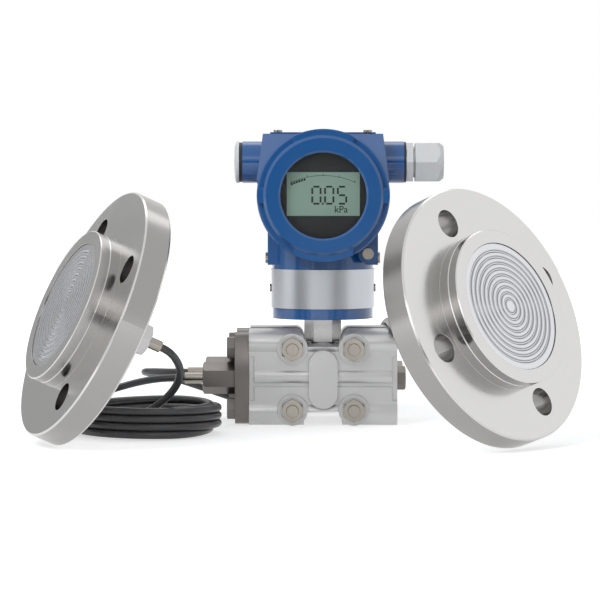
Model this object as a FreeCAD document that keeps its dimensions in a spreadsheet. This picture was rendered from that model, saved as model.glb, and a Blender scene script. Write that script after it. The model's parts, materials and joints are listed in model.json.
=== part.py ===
"""Differential pressure transmitter with two remote diaphragm seals.

Units are millimetres. X runs along the cell to the cable gland side, Y away from the display, Z up.
The origin is on the axis of the cell's neck, at the foot of the measuring cell.
"""
import FreeCAD, Part
import PartDesign
import Sketcher
import math
import os
import re

Vector = FreeCAD.Vector
doc = FreeCAD.newDocument("pressure_transmitter")

# ---------------------------------------------------------------- driving dimensions
DIMENSIONS = {
    # measuring cell: two process flanges bolted either side of a round sensor capsule
    "cell_width": (100, "length of a process flange, along X"),
    "cell_height": (64, "height of a process flange"),
    "cell_depth": (88, "front to rear over the rounded bars"),
    "capsule_width": (20, "gap between the two process flanges"),
    "capsule_size": (46, "diameter of the sensor capsule"),
    "port_height": (31.2, "height of the process ports and of the bolt square's centre"),
    "bolt_pitch": (41.3, "side of the bolt square and distance between tapped holes"),
    "bar_radius": (8.6, "rounding of the bars along the top and foot"),
    "panel_step": (2, "depth of the flat panels behind the bars"),
    "panel_foot": (16.8, "lower edge of the panels"),
    "panel_head": (46.7, "upper edge of the panels"),
    "groove_foot": (26.1, "lower edge of the groove under the rib"),
    "groove_width": (2.8, "height of the groove"),
    "groove_depth": (1.5, "depth of the groove below the panels"),
    "rib_radius": (6.5, "rounding of the central rib"),
    "rib_rise": (1.5, "height of the rib above the panels"),
    "end_step": (3.5, "length of the set-back ends of the panels"),
    "notch_width": (26, "width of the notches at the neck and the foot"),
    "notch_round": (6, "rounding of the notch's upper corners"),
    "web_foot": (9.8, "underside of the web between the bosses"),
    "web_head": (53.3, "top of the web between the bosses"),
    "boss_size": (20.7, "diameter of the bolt bosses"),
    "boss_rise": (1, "height of the bosses above the bars"),
    "pad_width": (19.7, "width of the oblong pad"),
    "pad_length": (39.2, "height of the oblong pad"),
    "pad_rise": (2, "height of the oblong pad above the bars"),
    "chamber_size": (34, "diameter of the pressure chamber"),
    "chamber_depth": (3.5, "depth of the pressure chamber"),
    "gasket_size": (42, "outside diameter of the capsule gaskets"),
    "gasket_thickness": (1.5, "thickness of the capsule gaskets"),
    "gasket_play": (0.1, "play round the capsule gaskets"),
    "port_bore": (10, "bore of the process ports"),
    "link_bore": (6, "drilling from a port to its chamber"),
    "link_offset": (12, "distance of that drilling from the centre"),
    "membrane_size": (29.6, "diameter of the capsule's isolating membranes"),
    "membrane_thickness": (0.5, "thickness of the isolating membranes"),
    # bolts and nuts
    "bolt_size": (8, "thread diameter of the cell's bolts"),
    "bolt_hole": (9, "clearance hole for those bolts"),
    "thread_play": (0.1, "radial play left where a thread would be"),
    "bolt_flats": (14, "across flats of bolt heads and nuts"),
    "head_height": (5.5, "height of a bolt head"),
    "nut_height": (6.5, "height of a nut"),
    "stud_end": (1.6, "length of a bolt past its nut"),
    "tapped_depth": (16, "depth of the tapped holes in the cell's ends"),
    # oval adapters and capillary fittings on the left end
    "adapter_thickness": (9.6, "thickness of the oval adapters"),
    "adapter_half": (15, "half width of an adapter at its middle"),
    "lobe_radius": (10.5, "rounding of an adapter's lobes"),
    "ring_size": (17, "outside diameter of the adapter's sealing ring"),
    "ring_width": (2.5, "width of the sealing ring"),
    "ring_thickness": (1, "thickness of the sealing ring"),
    "fitting_flats": (19, "across flats of a capillary fitting"),
    "fitting_length": (21.8, "length of the fitting's hexagon"),
    "fitting_tail": (7, "length of the fitting inside the adapter"),
    "sleeve_size": (7.5, "diameter of the crimped sleeve on a capillary"),
    "sleeve_length": (12.4, "length of the crimped sleeve"),
    "vent_flats": (14, "across flats of the vent plugs"),
    "vent_head": (6, "length of a vent plug's head"),
    "vent_tail": (9, "length of a vent plug in its port"),
    # neck between the capsule and the housing
    "neck_flats": (22, "across flats of the neck"),
    "neck_foot": (54.6, "underside of the neck's hexagon"),
    "neck_stub": (8, "radius of the neck's stub in the capsule"),
    "stub_length": (9, "length of that stub"),
    "spigot_radius": (12.5, "radius of the neck's spigot in the housing"),
    "spigot_length": (16, "length of that spigot"),
    "neck_ring_section": (2.2, "section of the neck's O-ring"),
    "neck_ring_rise": (6, "height of that O-ring above the housing's foot"),
    "running_gap": (0.3, "gap between parts that turn or slide on each other"),
    # housing
    "housing_foot": (70.8, "underside of the housing"),
    "collar_radius": (34.7, "radius of the housing's round collar"),
    "band_lift": (7.3, "label band above the underside of the housing"),
    "band_width": (26.6, "width of the label band"),
    "band_thickness": (0.6, "thickness of the label band"),
    "band_play": (0.1, "play under the label band"),
    "rivet_size": (5.5, "head diameter of the band's rivets"),
    "rivet_rise": (1, "height of a rivet's head"),
    "rivet_shank": (3, "shank diameter of the rivets"),
    "rivet_length": (5, "length of a rivet's shank"),
    "barrel_gap": (8.7, "underside of the barrel above the label band"),
    "barrel_radius": (41.6, "outside radius of the barrel"),
    "barrel_length": (72, "length of the barrel between the covers"),
    "thread_bore": (36, "radius of the barrel's threaded mouths"),
    "wall_front": (13, "front face of the middle wall, ahead of the axis"),
    "wall_back": (3, "rear face of the middle wall, ahead of the axis"),
    "wire_bore": (12, "bore for the wires from the neck"),
    "wire_offset": (18, "distance of that bore ahead of the axis"),
    "crown_cover": (0.2, "top face of the crown above the barrel"),
    "shoulder_lift": (10, "widest level of the crown above the barrel's axis"),
    "crown_drop": (20, "lower level of the crown's sides below that axis"),
    "crown_half": (40.8, "half width of the crown's top face"),
    "shoulder_half": (45, "half width at the shoulder"),
    "crown_foot_half": (38, "half width at the crown's foot"),
    "crown_depth": (20, "half depth of the top face"),
    "shoulder_depth": (27, "half depth at the shoulder"),
    "cheek_half": (37.6, "half width over the two cheeks"),
    "cheek_depth": (16, "half depth of the cheeks"),
    "cheek_lift": (2.9, "underside of the cheeks above the label band"),
    "cheek_height": (30.1, "height of the cheeks"),
    "ground_boss": (13.2, "diameter of the ground screw's boss"),
    "ground_offset": (30.4, "distance of the ground screw from the axis"),
    "ground_lift": (10.9, "ground screw above the label band"),
    "ground_reach": (30, "front face of that boss, ahead of the axis"),
    "ground_head": (7.7, "head diameter of the ground screw"),
    "ground_head_height": (3, "height of that head"),
    "small_screw": (4, "thread diameter of the small screws"),
    "small_screw_length": (10, "length of their threads"),
    "side_head": (7.4, "head diameter of the lock screws in the cheeks"),
    "side_head_height": (1.7, "height of those heads"),
    "side_lift": (7.3, "lock screws above the label band"),
    # conduit ports, blind plug and cable gland
    "conduit_lift": (22.6, "conduit ports above the barrel's axis"),
    "conduit_back": (6, "distance of the ports behind the axis"),
    "conduit_radius": (14.4, "outside radius of the ports"),
    "conduit_left": (55.1, "end of the left port"),
    "conduit_right": (55.8, "end of the right port"),
    "conduit_bore": (10, "radius of the ports' thread"),
    "conduit_inner": (27, "inner end of the ports' bores"),
    "plug_seal_thickness": (2.3, "thickness of the blind plug's seal"),
    "plug_seal_radius": (13.6, "radius of that seal"),
    "plug_radius": (14.2, "radius of the blind plug's head"),
    "plug_rim": (2, "height of the head's rim"),
    "plug_dome": (1.5, "rise of the head's dome"),
    "plug_tail": (13, "length of the plug in its port"),
    "washer_thickness": (1.5, "thickness of the gland's washer"),
    "washer_radius": (13.9, "radius of the gland's washer"),
    "gland_flats": (26.4, "across flats of the gland"),
    "gland_flange": (4.7, "length of the gland's hexagon"),
    "gland_groove": (1.5, "gap between the hexagon and the cap"),
    "gland_thread": (10.6, "radius of the gland's cap thread"),
    "gland_thread_length": (11.8, "length of that thread"),
    "gland_bore": (6.5, "radius of the gland's cable way"),
    "gland_seat": (9, "radius of the seat of the rubber seal"),
    "gland_seat_depth": (8, "depth of that seat"),
    "gland_seal_bore": (5.6, "radius of the cable way in the seal"),
    "cap_length": (19.5, "length of the gland's cap"),
    "cap_mouth": (6, "radius of the cap's mouth"),
    "cap_wall": (5.2, "thickness of the cap's end"),
    "cap_dome": (5, "length of the cap's rounded end"),
    "cap_end_radius": (11.4, "radius at the cap's end"),
    "thrust_thickness": (2.6, "thickness of the ring under the cap's end"),
    # screwed covers
    "cover_radius": (44.6, "outside radius of the covers"),
    "cover_skirt": (14, "length of the full-size skirt"),
    "cover_length": (20, "distance of the front cover's face from the barrel"),
    "rear_length": (18, "distance of the rear cover's face from the barrel"),
    "cover_shoulder": (40.2, "radius of the raised front"),
    "cover_face": (38.4, "outside radius of the flat face"),
    "face_bevel": (1.8, "length of the bevel round that face"),
    "window_radius": (28.7, "radius of the window"),
    "window_mouth": (30, "radius of the window's bevel at the face"),
    "window_lip": (2.5, "thickness of the lip that holds the glass"),
    "gasket_lip": (1, "thickness of the window gasket"),
    "glass_radius": (32, "radius of the glass"),
    "glass_thickness": (6.3, "thickness of the glass"),
    "glass_play": (0.3, "radial play of the glass"),
    "retainer_width": (3.2, "width of the ring behind the glass"),
    "retainer_thickness": (2.5, "thickness of that ring"),
    "cover_bore": (33, "inside radius of the covers"),
    "cover_thread": (8, "length of the covers' threads in the barrel"),
    "cover_ring": (2.5, "section of the covers' O-rings"),
    "rear_wall": (4, "thickness of the rear cover's end"),
    "lug_rise": (4, "height of the wrench lugs"),
    "lug_half": (20, "half width of the wide lugs"),
    "small_lug_half": (5, "half width of the narrow lugs"),
    # display and electronics
    "display_radius": (31.5, "radius of the display module"),
    "display_reach": (7, "front of the display ahead of the barrel's mouth"),
    "display_thickness": (12, "thickness of the display module"),
    "panel_width": (49, "width of the liquid crystal panel"),
    "panel_height": (29.3, "height of the liquid crystal panel"),
    "panel_thickness": (2, "thickness of the panel"),
    "panel_lift": (1, "height of the panel above the barrel's axis"),
    "panel_play": (0.1, "play round the panel"),
    "spacer_radius": (2.5, "radius of the display's spacers"),
    "spacer_circle": (24, "radius of the circle of spacers"),
    "board_radius": (30, "radius of the circuit board"),
    "board_thickness": (1.6, "thickness of the circuit board"),
    "board_offset": (22, "rear of the board ahead of the axis"),
    "board_play": (0.2, "play round the spacers in the board"),
    "terminal_radius": (28, "radius of the terminal block"),
    "terminal_thickness": (12, "thickness of the terminal block"),
    "terminal_pitch": (15, "distance between terminals"),
    "terminal_head": (7, "head diameter of the terminal screws"),
    "terminal_head_height": (2, "height of those heads"),
    # plate and buttons on the crown
    "plate_length": (72, "length of the plate on the crown"),
    "plate_width": (15, "width of that plate"),
    "plate_thickness": (1, "thickness of that plate"),
    "plate_gap": (0.1, "gap under and over the plate"),
    "crown_middle": (8, "plate's centre line, ahead of the axis"),
    "plate_screw_offset": (30.7, "distance of the plate's screws from the centre"),
    "plate_screw_head": (6, "head diameter of those screws"),
    "plate_screw_rise": (1.5, "height of those heads"),
    "plate_screw_size": (3, "thread diameter of those screws"),
    "plate_hole": (3.8, "hole and slot width in the plate"),
    "slot_ease": (0.6, "extra width of the plate's open slot"),
    "button_radius": (3, "radius of the buttons"),
    "button_length": (9, "length of the buttons"),
    "button_depth": (0.5, "top of the buttons below the crown"),
    "button_travel": (1.5, "travel of the buttons"),
    "span_offset": (16, "distance from the zero button to the span button"),
    # diaphragm seals, each in its own frame: Z is the normal of the flange's face
    "flange_size": (165, "outside diameter of a seal's flange"),
    "flange_thickness": (18, "thickness of that flange"),
    "flange_circle": (125, "bolt circle of that flange"),
    "flange_hole": (18, "bolt hole of that flange"),
    "seal_size": (100, "diameter of the raised part"),
    "raised_height": (7, "height of the flange's raised part"),
    "seal_height": (6.5, "height of the seal body on it"),
    "seam_bevel": (0.5, "bevel at the joint between them"),
    "face_edge": (0.6, "bevel round the seal's face"),
    "rim_bevel": (1.5, "bevel at the rear of the flange's rim"),
    "rim_edge": (1, "bevel at the front of that rim"),
    "diaphragm_size": (82, "diameter of the diaphragm"),
    "diaphragm_drop": (0.6, "rim of the diaphragm below the seal's face"),
    "diaphragm_rim": (3, "plain rim round the diaphragm's waves"),
    "diaphragm_seat": (1.6, "thickness under the diaphragm's waves"),
    "wave_height": (0.9, "height of the diaphragm's waves"),
    "wave_pitch": (3.9, "pitch of the diaphragm's waves"),
    "stem_radius": (10, "radius of the seal's stem through the flange"),
    "stem_play": (0.2, "radial play of the stem in the flange"),
    "stem_reach": (20, "length of the stem behind the flange"),
    "seal_nut_flats": (19, "across flats of the nut on the stem"),
    "seal_nut_length": (8, "length of that nut"),
    "seal_sleeve_length": (10, "length of the sleeve behind that nut"),
    "right_x": (105.2, "centre of the right flange's face, along X"),
    "right_y": (-187.9, "centre of the right flange's face, along Y"),
    "right_azimuth": (48.2, "direction the right face looks to, from -Y towards +X"),
    "right_tilt": (21.1, "tilt of the right face above level"),
    "right_hole_angle": (18.8, "first bolt hole of the right flange"),
    "left_x": (-151.9, "centre of the left flange's face, along X"),
    "left_y": (-171.2, "centre of the left flange's face, along Y"),
    "left_azimuth": (-69.2, "direction the left face looks to, from -Y towards +X"),
    "left_tilt": (23.8, "tilt of the left face above level"),
    "left_hole_angle": (30, "first bolt hole of the left flange"),
    # capillaries
    "capillary_size": (5, "diameter of the sheathed capillaries"),
    "straight_run": (13.2, "straight run of a capillary from its sleeve at the cell"),
    "seal_run": (6, "straight run of a capillary from its sleeve at the seal"),
    "route_unit": (1, "length of one unit of the capillaries' routes"),
    "coil_radius": (49.5, "outside radius of a coil of capillary"),
    "coil_width": (16, "width of a coil's bundle"),
    "coil_height": (22, "height of a coil's bundle"),
    "coil_round": (4, "rounding of a coil's bundle"),
    "left_coil_x": (-116, "centre of the left coil, along X"),
    "left_coil_y": (-94, "centre of the left coil, along Y"),
    "right_coil_x": (-8, "centre of the right coil, along X"),
    "right_coil_y": (112, "centre of the right coil, along Y"),
}
# heights that follow from those above
DERIVED = {
    "band_foot": ("housing_foot + band_lift", "lower edge of the label band"),
    "band_head": ("band_foot + band_width", "upper edge of the label band"),
    "barrel_height": ("band_head + barrel_gap + barrel_radius", "height of the barrel's axis"),
    "crown_height": ("barrel_height + barrel_radius + crown_cover", "top face of the housing's crown"),
    "shoulder_height": ("barrel_height + shoulder_lift", "widest level of the crown"),
    "crown_foot": ("barrel_height - crown_drop", "lower level of the crown's sides"),
    "cheek_foot": ("band_head + cheek_lift", "underside of the cheeks"),
    "ground_height": ("band_head + ground_lift", "height of the ground screw"),
    "side_height": ("band_head + side_lift", "height of the lock screws"),
    "conduit_height": ("barrel_height + conduit_lift", "height of the two conduit ports"),
}
ALIASES = {**DIMENSIONS, **{alias: ("=" + text, meaning) for alias, (text, meaning) in DERIVED.items()}}

sheet = doc.addObject("Spreadsheet::Sheet", "Dims")
for row, (alias, (value, meaning)) in enumerate(ALIASES.items(), start=1):
    sheet.set(f"A{row}", alias)
    sheet.set(f"B{row}", str(value))
    sheet.set(f"C{row}", meaning)
    sheet.setAlias(f"B{row}", alias)
doc.recompute()


def formula(text):
    """A formula written with the sheet's aliases, as FreeCAD reads it."""
    return re.sub(r"[a-z_]+", lambda word: "Dims." + word[0] if word[0] in ALIASES else word[0],
                  str(text))


def size(text):
    """What a formula comes to with the numbers that the sheet holds."""
    return float(sheet.evalExpression(formula(text)))


# ---------------------------------------------------------------- primitives bound to the sheet
LENGTHS = ("Length", "Width", "Height")
ALONG = {
    "x": FreeCAD.Rotation(Vector(0, 1, 0), 90),
    "y": FreeCAD.Rotation(Vector(1, 0, 0), -90),
    "z": FreeCAD.Rotation(),
}


def block(name, x, y, z):
    """A box between pairs of formulas, low and high, along each axis."""
    part = doc.addObject("Part::Box", name)
    for length, axis, (low, high) in zip(LENGTHS, "xyz", (x, y, z)):
        part.setExpression(length, formula(f"({high}) - ({low})"))
        part.setExpression(f"Placement.Base.{axis}", formula(low))
    return part


def set_along(part, axis, low, centre, roll=0):
    """Lays a primitive along an axis from its low end, with its centre line through centre."""
    turn = ALONG[axis].multiply(FreeCAD.Rotation(Vector(0, 0, 1), roll))
    part.Placement = FreeCAD.Placement(Vector(), turn)
    across = iter(centre)
    for letter in "xyz":
        place = low if letter == axis else next(across)
        part.setExpression(f"Placement.Base.{letter}", formula(place))


def rod(name, axis, radius, span, centre=(0, 0)):
    """A round bar along an axis, between two formulas."""
    part = doc.addObject("Part::Cylinder", name)
    part.setExpression("Radius", formula(radius))
    part.setExpression("Height", formula(f"({span[1]}) - ({span[0]})"))
    set_along(part, axis, span[0], centre)
    return part


def hexagon(name, axis, flats, span, centre=(0, 0), roll=0, bevel=None):
    """A hexagonal bar, its corners bevelled at its "low" or "high" end."""
    prism = doc.addObject("Part::Prism", name if bevel is None else name + "_prism")
    prism.Polygon = 6
    height = f"({span[1]}) - ({span[0]})"
    prism.setExpression("Circumradius", formula(f"({flats}) / sqrt(3)"))
    prism.setExpression("Height", formula(height))
    set_along(prism, axis, span[0], centre, roll)
    if bevel is None:
        return prism
    cone = doc.addObject("Part::Cone", name + "_cone")
    wide, narrow = ("Radius1", "Radius2") if bevel == "high" else ("Radius2", "Radius1")
    cone.setExpression(narrow, formula(f"({flats}) / 2"))
    cone.setExpression(wide, formula(f"({flats}) / 2 + sqrt(3) * ({height})"))
    cone.setExpression("Height", formula(height))
    set_along(cone, axis, span[0], centre)
    return common(name, prism, cone)


def common(name, base, tool):
    part = doc.addObject("Part::Common", name)
    part.Base = base
    part.Tool = tool
    return part


def fuse(name, *pieces):
    part = doc.addObject("Part::MultiFuse", name)
    part.Shapes = list(pieces)
    return part


def cut(name, base, *tools):
    part = doc.addObject("Part::Cut", name)
    part.Base = base
    part.Tool = tools[0] if len(tools) == 1 else fuse(name + "_tools", *tools)
    return part


def group(name, pieces):
    """Identical loose pieces that share one node."""
    part = doc.addObject("Part::Compound", name)
    part.Links = list(pieces)
    return part


def turned(name, outline):
    """A turned piece: (radius, height) formulas joined by straight lines, spun about Z."""
    body = doc.addObject("PartDesign::Body", name)
    sketch = body.newObject("Sketcher::SketchObject", name + "_section")
    plane = next(part for part in body.Origin.OriginFeatures if part.Role == "XZ_Plane")
    sketch.AttachmentSupport = [(plane, "")]
    sketch.MapMode = "FlatFace"
    places = [[size(term) for term in point] for point in outline]
    count = len(places)
    for here in range(count):
        ends = [Vector(*places[index % count], 0) for index in (here, here + 1)]
        sketch.addGeometry(Part.LineSegment(*ends), False)
    for here in range(count):
        after = (here + 1) % count
        sketch.addConstraint(Sketcher.Constraint("Coincident", here, 2, after, 1))
    for here, point in enumerate(outline):
        for kind, term, place in zip(("DistanceX", "DistanceY"), point, places[here]):
            if str(term) == "0":
                axis = -2 if kind == "DistanceX" else -1
                sketch.addConstraint(Sketcher.Constraint("PointOnObject", here, 1, axis))
                continue
            number = sketch.addConstraint(Sketcher.Constraint(kind, -1, 1, here, 1, place))
            sketch.setExpression(f"Constraints[{number}]", formula(term))
    spin = body.newObject("PartDesign::Revolution", name + "_spin")
    spin.Profile = sketch
    spin.ReferenceAxis = (sketch, ["V_Axis"])
    spin.Angle = 360
    return body


NODES = {}


def node(name, part):
    """Names a finished sub-part and keeps it for writing."""
    part.Label = name
    NODES[name] = part
    return part


# ---------------------------------------------------------------- measuring cell
HALF_PITCH = "bolt_pitch / 2"
LOW_BOLT = f"(port_height - {HALF_PITCH})"
HIGH_BOLT = f"(port_height + {HALF_PITCH})"
BOLTS = [(x, z) for x in ("-" + HALF_PITCH, HALF_PITCH) for z in (LOW_BOLT, HIGH_BOLT)]
PORT_DEPTH = "((cell_depth + capsule_width) / 4)"
BOSS_FACE = "(cell_depth / 2 + boss_rise)"
CELL_SIDES = {"front": -1, "rear": 1}


def across(low, high, side=1):
    """The span between two distances from a middle plane, on its chosen side."""
    return (low, high) if side > 0 else (f"-({high})", f"-({low})")


def signed(side, distance):
    return distance if side > 0 else f"-({distance})"


def process_flange(name, side):
    """A cast flange: bars at head and foot, panels and a rib between, bosses and an oblong pad."""
    inner, outer, bar = "capsule_width / 2", "cell_depth / 2", "cell_depth / 2 - bar_radius"
    panel = "cell_depth / 2 - panel_step"
    length = ("-cell_width / 2", "cell_width / 2")
    notch = ("-notch_width / 2", "notch_width / 2")
    through = across("0", f"{outer} + 1", side)
    rib_half = "sqrt(rib_radius^2 - (rib_radius - rib_rise)^2)"
    rib_line = (signed(side, f"{panel} + rib_rise - rib_radius"), f"groove_foot + groove_width + {rib_half}")
    casting = fuse(
        name + "_casting",
        block(name + "_core", length, across(inner, bar, side), ("0", "cell_height")),
        block(name + "_panels", length, across(bar, panel, side), ("bar_radius", "cell_height - bar_radius")),
        rod(name + "_foot_bar", "x", "bar_radius", length, (signed(side, bar), "bar_radius")),
        rod(name + "_head_bar", "x", "bar_radius", length, (signed(side, bar), "cell_height - bar_radius")),
        rod(name + "_rib", "x", "rib_radius", length, rib_line),
    )
    cuts = [
        block(name + "_head_notch", notch, through, ("web_head", "cell_height + 1")),
        block(name + "_foot_notch", notch, through, ("-1", "web_foot")),
        block(name + "_groove", length, across(f"{panel} - groove_depth", outer, side),
              ("groove_foot", "groove_foot + groove_width")),
    ]
    for end in (-1, 1):
        edge = across("cell_width / 2 - end_step", "cell_width / 2 + 1", end)
        cuts.append(block(f"{name}_end{end}", edge, across(f"{panel} - groove_depth", f"{outer} + 1", side),
                          ("panel_foot", "panel_head")))
        corner = across("notch_width / 2 - 0.1", "notch_width / 2 + notch_round", end)
        square = block(f"{name}_corner{end}", corner, through,
                       ("cell_height - notch_round", "cell_height + 1"))
        arc = rod(f"{name}_arc{end}", "y", "notch_round", through,
                  (signed(end, "notch_width / 2 + notch_round"), "cell_height - notch_round"))
        cuts.append(cut(f"{name}_round{end}", square, arc))
    raised = [cut(name + "_profile", casting, *cuts)]
    for number, (x, z) in enumerate(BOLTS):
        raised.append(rod(f"{name}_boss{number}", "y", "boss_size / 2",
                          across(inner, BOSS_FACE, side), (x, z)))
    pad = across(inner, f"{outer} + pad_rise", side)
    pad_middle = "(pad_length - pad_width) / 2"
    raised.append(block(name + "_pad", ("-pad_width / 2", "pad_width / 2"), pad,
                        (f"port_height - {pad_middle}", f"port_height + {pad_middle}")))
    for number, end in enumerate((f"port_height - {pad_middle}", f"port_height + {pad_middle}")):
        raised.append(rod(f"{name}_pad_end{number}", "y", "pad_width / 2", pad, ("0", end)))
    seat = f"{inner} + gasket_thickness"
    holes = [
        rod(name + "_gasket_seat", "y", "gasket_size / 2 + gasket_play", across("0", seat, side),
            ("0", "port_height")),
        rod(name + "_chamber", "y", "chamber_size / 2", across("0", f"{seat} + chamber_depth", side),
            ("0", "port_height")),
    ]
    for end in (-1, 1):
        port = (signed(side, PORT_DEPTH), "port_height")
        holes.append(rod(f"{name}_port{end}", "x", "port_bore / 2",
                         across("link_offset", "cell_width / 2 + 1", end), port))
        holes.append(rod(f"{name}_link{end}", "y", "link_bore / 2", across(seat, PORT_DEPTH, side),
                         (signed(end, "link_offset"), "port_height")))
        for number, z in enumerate((LOW_BOLT, HIGH_BOLT)):
            holes.append(rod(f"{name}_tapped{end}_{number}", "x", "bolt_size / 2 + thread_play",
                             across("cell_width / 2 - tapped_depth", "cell_width / 2 + 1", end),
                             (port[0], z)))
    for number, (x, z) in enumerate(BOLTS):
        holes.append(rod(f"{name}_hole{number}", "y", "bolt_hole / 2",
                         across("0", f"{BOSS_FACE} + 1", side), (x, z)))
    return cut(name, fuse(name + "_raised", *raised), *holes)


def ring(name, axis, outer, inner, span, centre=("0", "0")):
    """A plain ring or tube along an axis."""
    return cut(name, rod(name + "_outside", axis, outer, span, centre),
               rod(name + "_inside", axis, inner, (f"{span[0]} - 1", f"{span[1]} + 1"), centre))


def bolt(name, axis, head, shank, radius, centre, bevel):
    """A hexagon head on a plain shank."""
    return fuse(name, hexagon(name + "_head", axis, "bolt_flats", head, centre, 30, bevel),
                rod(name + "_shank", axis, radius, shank, centre))


def nut(name, axis, span, centre, bevel):
    """A hexagon nut whose bore leaves play where the thread would be."""
    return cut(name, hexagon(name + "_hexagon", axis, "bolt_flats", span, centre, 30, bevel),
               rod(name + "_bore", axis, "bolt_size / 2 + thread_play",
                   (f"{span[0]} - 1", f"{span[1]} + 1"), centre))


def adapter(name, side):
    """An oval flange: two lobes joined by the arcs that touch them."""
    face = "cell_width / 2"
    span = (f"-({face} + adapter_thickness)", f"-{face}")
    over = (f"{span[0]} - 1", f"{span[1]} + 1")
    middle = signed(side, PORT_DEPTH)
    bulge = "(adapter_half - lobe_radius)"
    offset = f"((bolt_pitch^2 / 4 - {bulge}^2) / (2 * {bulge}))"
    touch = f"(bolt_pitch / 2 * (1 + lobe_radius / ({offset} + {bulge})))"
    arcs = [rod(f"{name}_arc{number}", "x", f"{offset} + adapter_half", span,
                (f"{middle} + ({shift})", "port_height"))
            for number, shift in enumerate((f"-{offset}", offset))]
    waist = block(name + "_waist", over, (f"{middle} - adapter_half", f"{middle} + adapter_half"),
                  (f"port_height - {touch}", f"port_height + {touch}"))
    oval = common(name + "_oval", common(name + "_lens", *arcs), waist)
    lobes = [rod(f"{name}_lobe{number}", "x", "lobe_radius", span, (middle, z))
             for number, z in enumerate((LOW_BOLT, HIGH_BOLT))]
    holes = [rod(f"{name}_hole{number}", "x", "bolt_hole / 2", over, (middle, z))
             for number, z in enumerate((LOW_BOLT, HIGH_BOLT))]
    holes.append(rod(name + "_bore", "x", "port_bore / 2", over, (middle, "port_height")))
    holes.append(ring(name + "_ring_seat", "x", "ring_size / 2 + gasket_play",
                      "ring_size / 2 - ring_width - gasket_play",
                      (f"-({face} + ring_thickness)", f"-{face} + 1"), (middle, "port_height")))
    return cut(name, fuse(name + "_solid", oval, *lobes), *holes)


def cell():
    """The measuring cell with its bolts, adapters, capillary fittings and vent plugs."""
    adapter_bolts, vents, flange_bolts, flange_nuts = [], [], [], []
    gaskets, adapter_rings, fittings, sleeves = [], [], [], []
    left_face = "(cell_width / 2 + adapter_thickness)"
    for word, side in CELL_SIDES.items():
        node(word + "_process_flange", process_flange(word + "_process_flange", side))
        middle = (signed(side, PORT_DEPTH), "port_height")
        gaskets.append(ring(word + "_cell_gasket", "y", "gasket_size / 2", "chamber_size / 2",
                            across("capsule_width / 2", "capsule_width / 2 + gasket_thickness", side),
                            ("0", "port_height")))
        node(word + "_oval_adapter", adapter(word + "_oval_adapter", side))
        adapter_rings.append(ring(word + "_adapter_ring", "x", "ring_size / 2", "ring_size / 2 - ring_width",
                                  ("-(cell_width / 2 + ring_thickness)", "-cell_width / 2"), middle))
        fitting_end = f"({left_face} + fitting_length)"
        fittings.append(fuse(word + "_capillary_fitting",
                             hexagon(word + "_fitting_hexagon", "x", "fitting_flats",
                                     (f"-{fitting_end}", f"-{left_face}"), middle, 0, "low"),
                             rod(word + "_fitting_tail", "x", "port_bore / 2 - thread_play",
                                 (f"-{left_face}", f"-({left_face} - fitting_tail)"), middle)))
        sleeves.append(rod(word + "_crimp_sleeve", "x", "sleeve_size / 2",
                           (f"-({fitting_end} + sleeve_length)", f"-{fitting_end}"), middle))
        for number, z in enumerate((LOW_BOLT, HIGH_BOLT)):
            adapter_bolts.append(bolt(f"{word}_adapter_bolt{number}", "x",
                                      (f"-({left_face} + head_height)", f"-{left_face}"),
                                      (f"-{left_face}", "-(cell_width / 2 - tapped_depth + 2)"),
                                      "bolt_size / 2", (middle[0], z), "low"))
        vents.append(fuse(word + "_vent",
                          hexagon(word + "_vent_head", "x", "vent_flats",
                                  ("cell_width / 2", "cell_width / 2 + vent_head"), middle, 0, "high"),
                          rod(word + "_vent_tail", "x", "port_bore / 2 - thread_play",
                              ("cell_width / 2 - vent_tail", "cell_width / 2"), middle)))
    for number, centre in enumerate(BOLTS):
        flange_bolts.append(bolt(f"flange_bolt{number}", "y", (BOSS_FACE, f"{BOSS_FACE} + head_height"),
                                 (f"-({BOSS_FACE} + nut_height + stud_end)", BOSS_FACE),
                                 "bolt_size / 2", centre, "high"))
        flange_nuts.append(nut(f"flange_nut{number}", "y", (f"-({BOSS_FACE} + nut_height)", f"-{BOSS_FACE}"),
                               centre, "low"))
    node("flange_bolts", group("flange_bolts", flange_bolts))
    node("flange_nuts", group("flange_nuts", flange_nuts))
    node("adapter_bolts", group("adapter_bolts", adapter_bolts))
    node("vent_plugs", group("vent_plugs", vents))
    node("cell_gaskets", group("cell_gaskets", gaskets))
    node("adapter_rings", group("adapter_rings", adapter_rings))
    node("capillary_fittings", group("capillary_fittings", fittings))
    node("crimp_sleeves", group("crimp_sleeves", sleeves))


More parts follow.
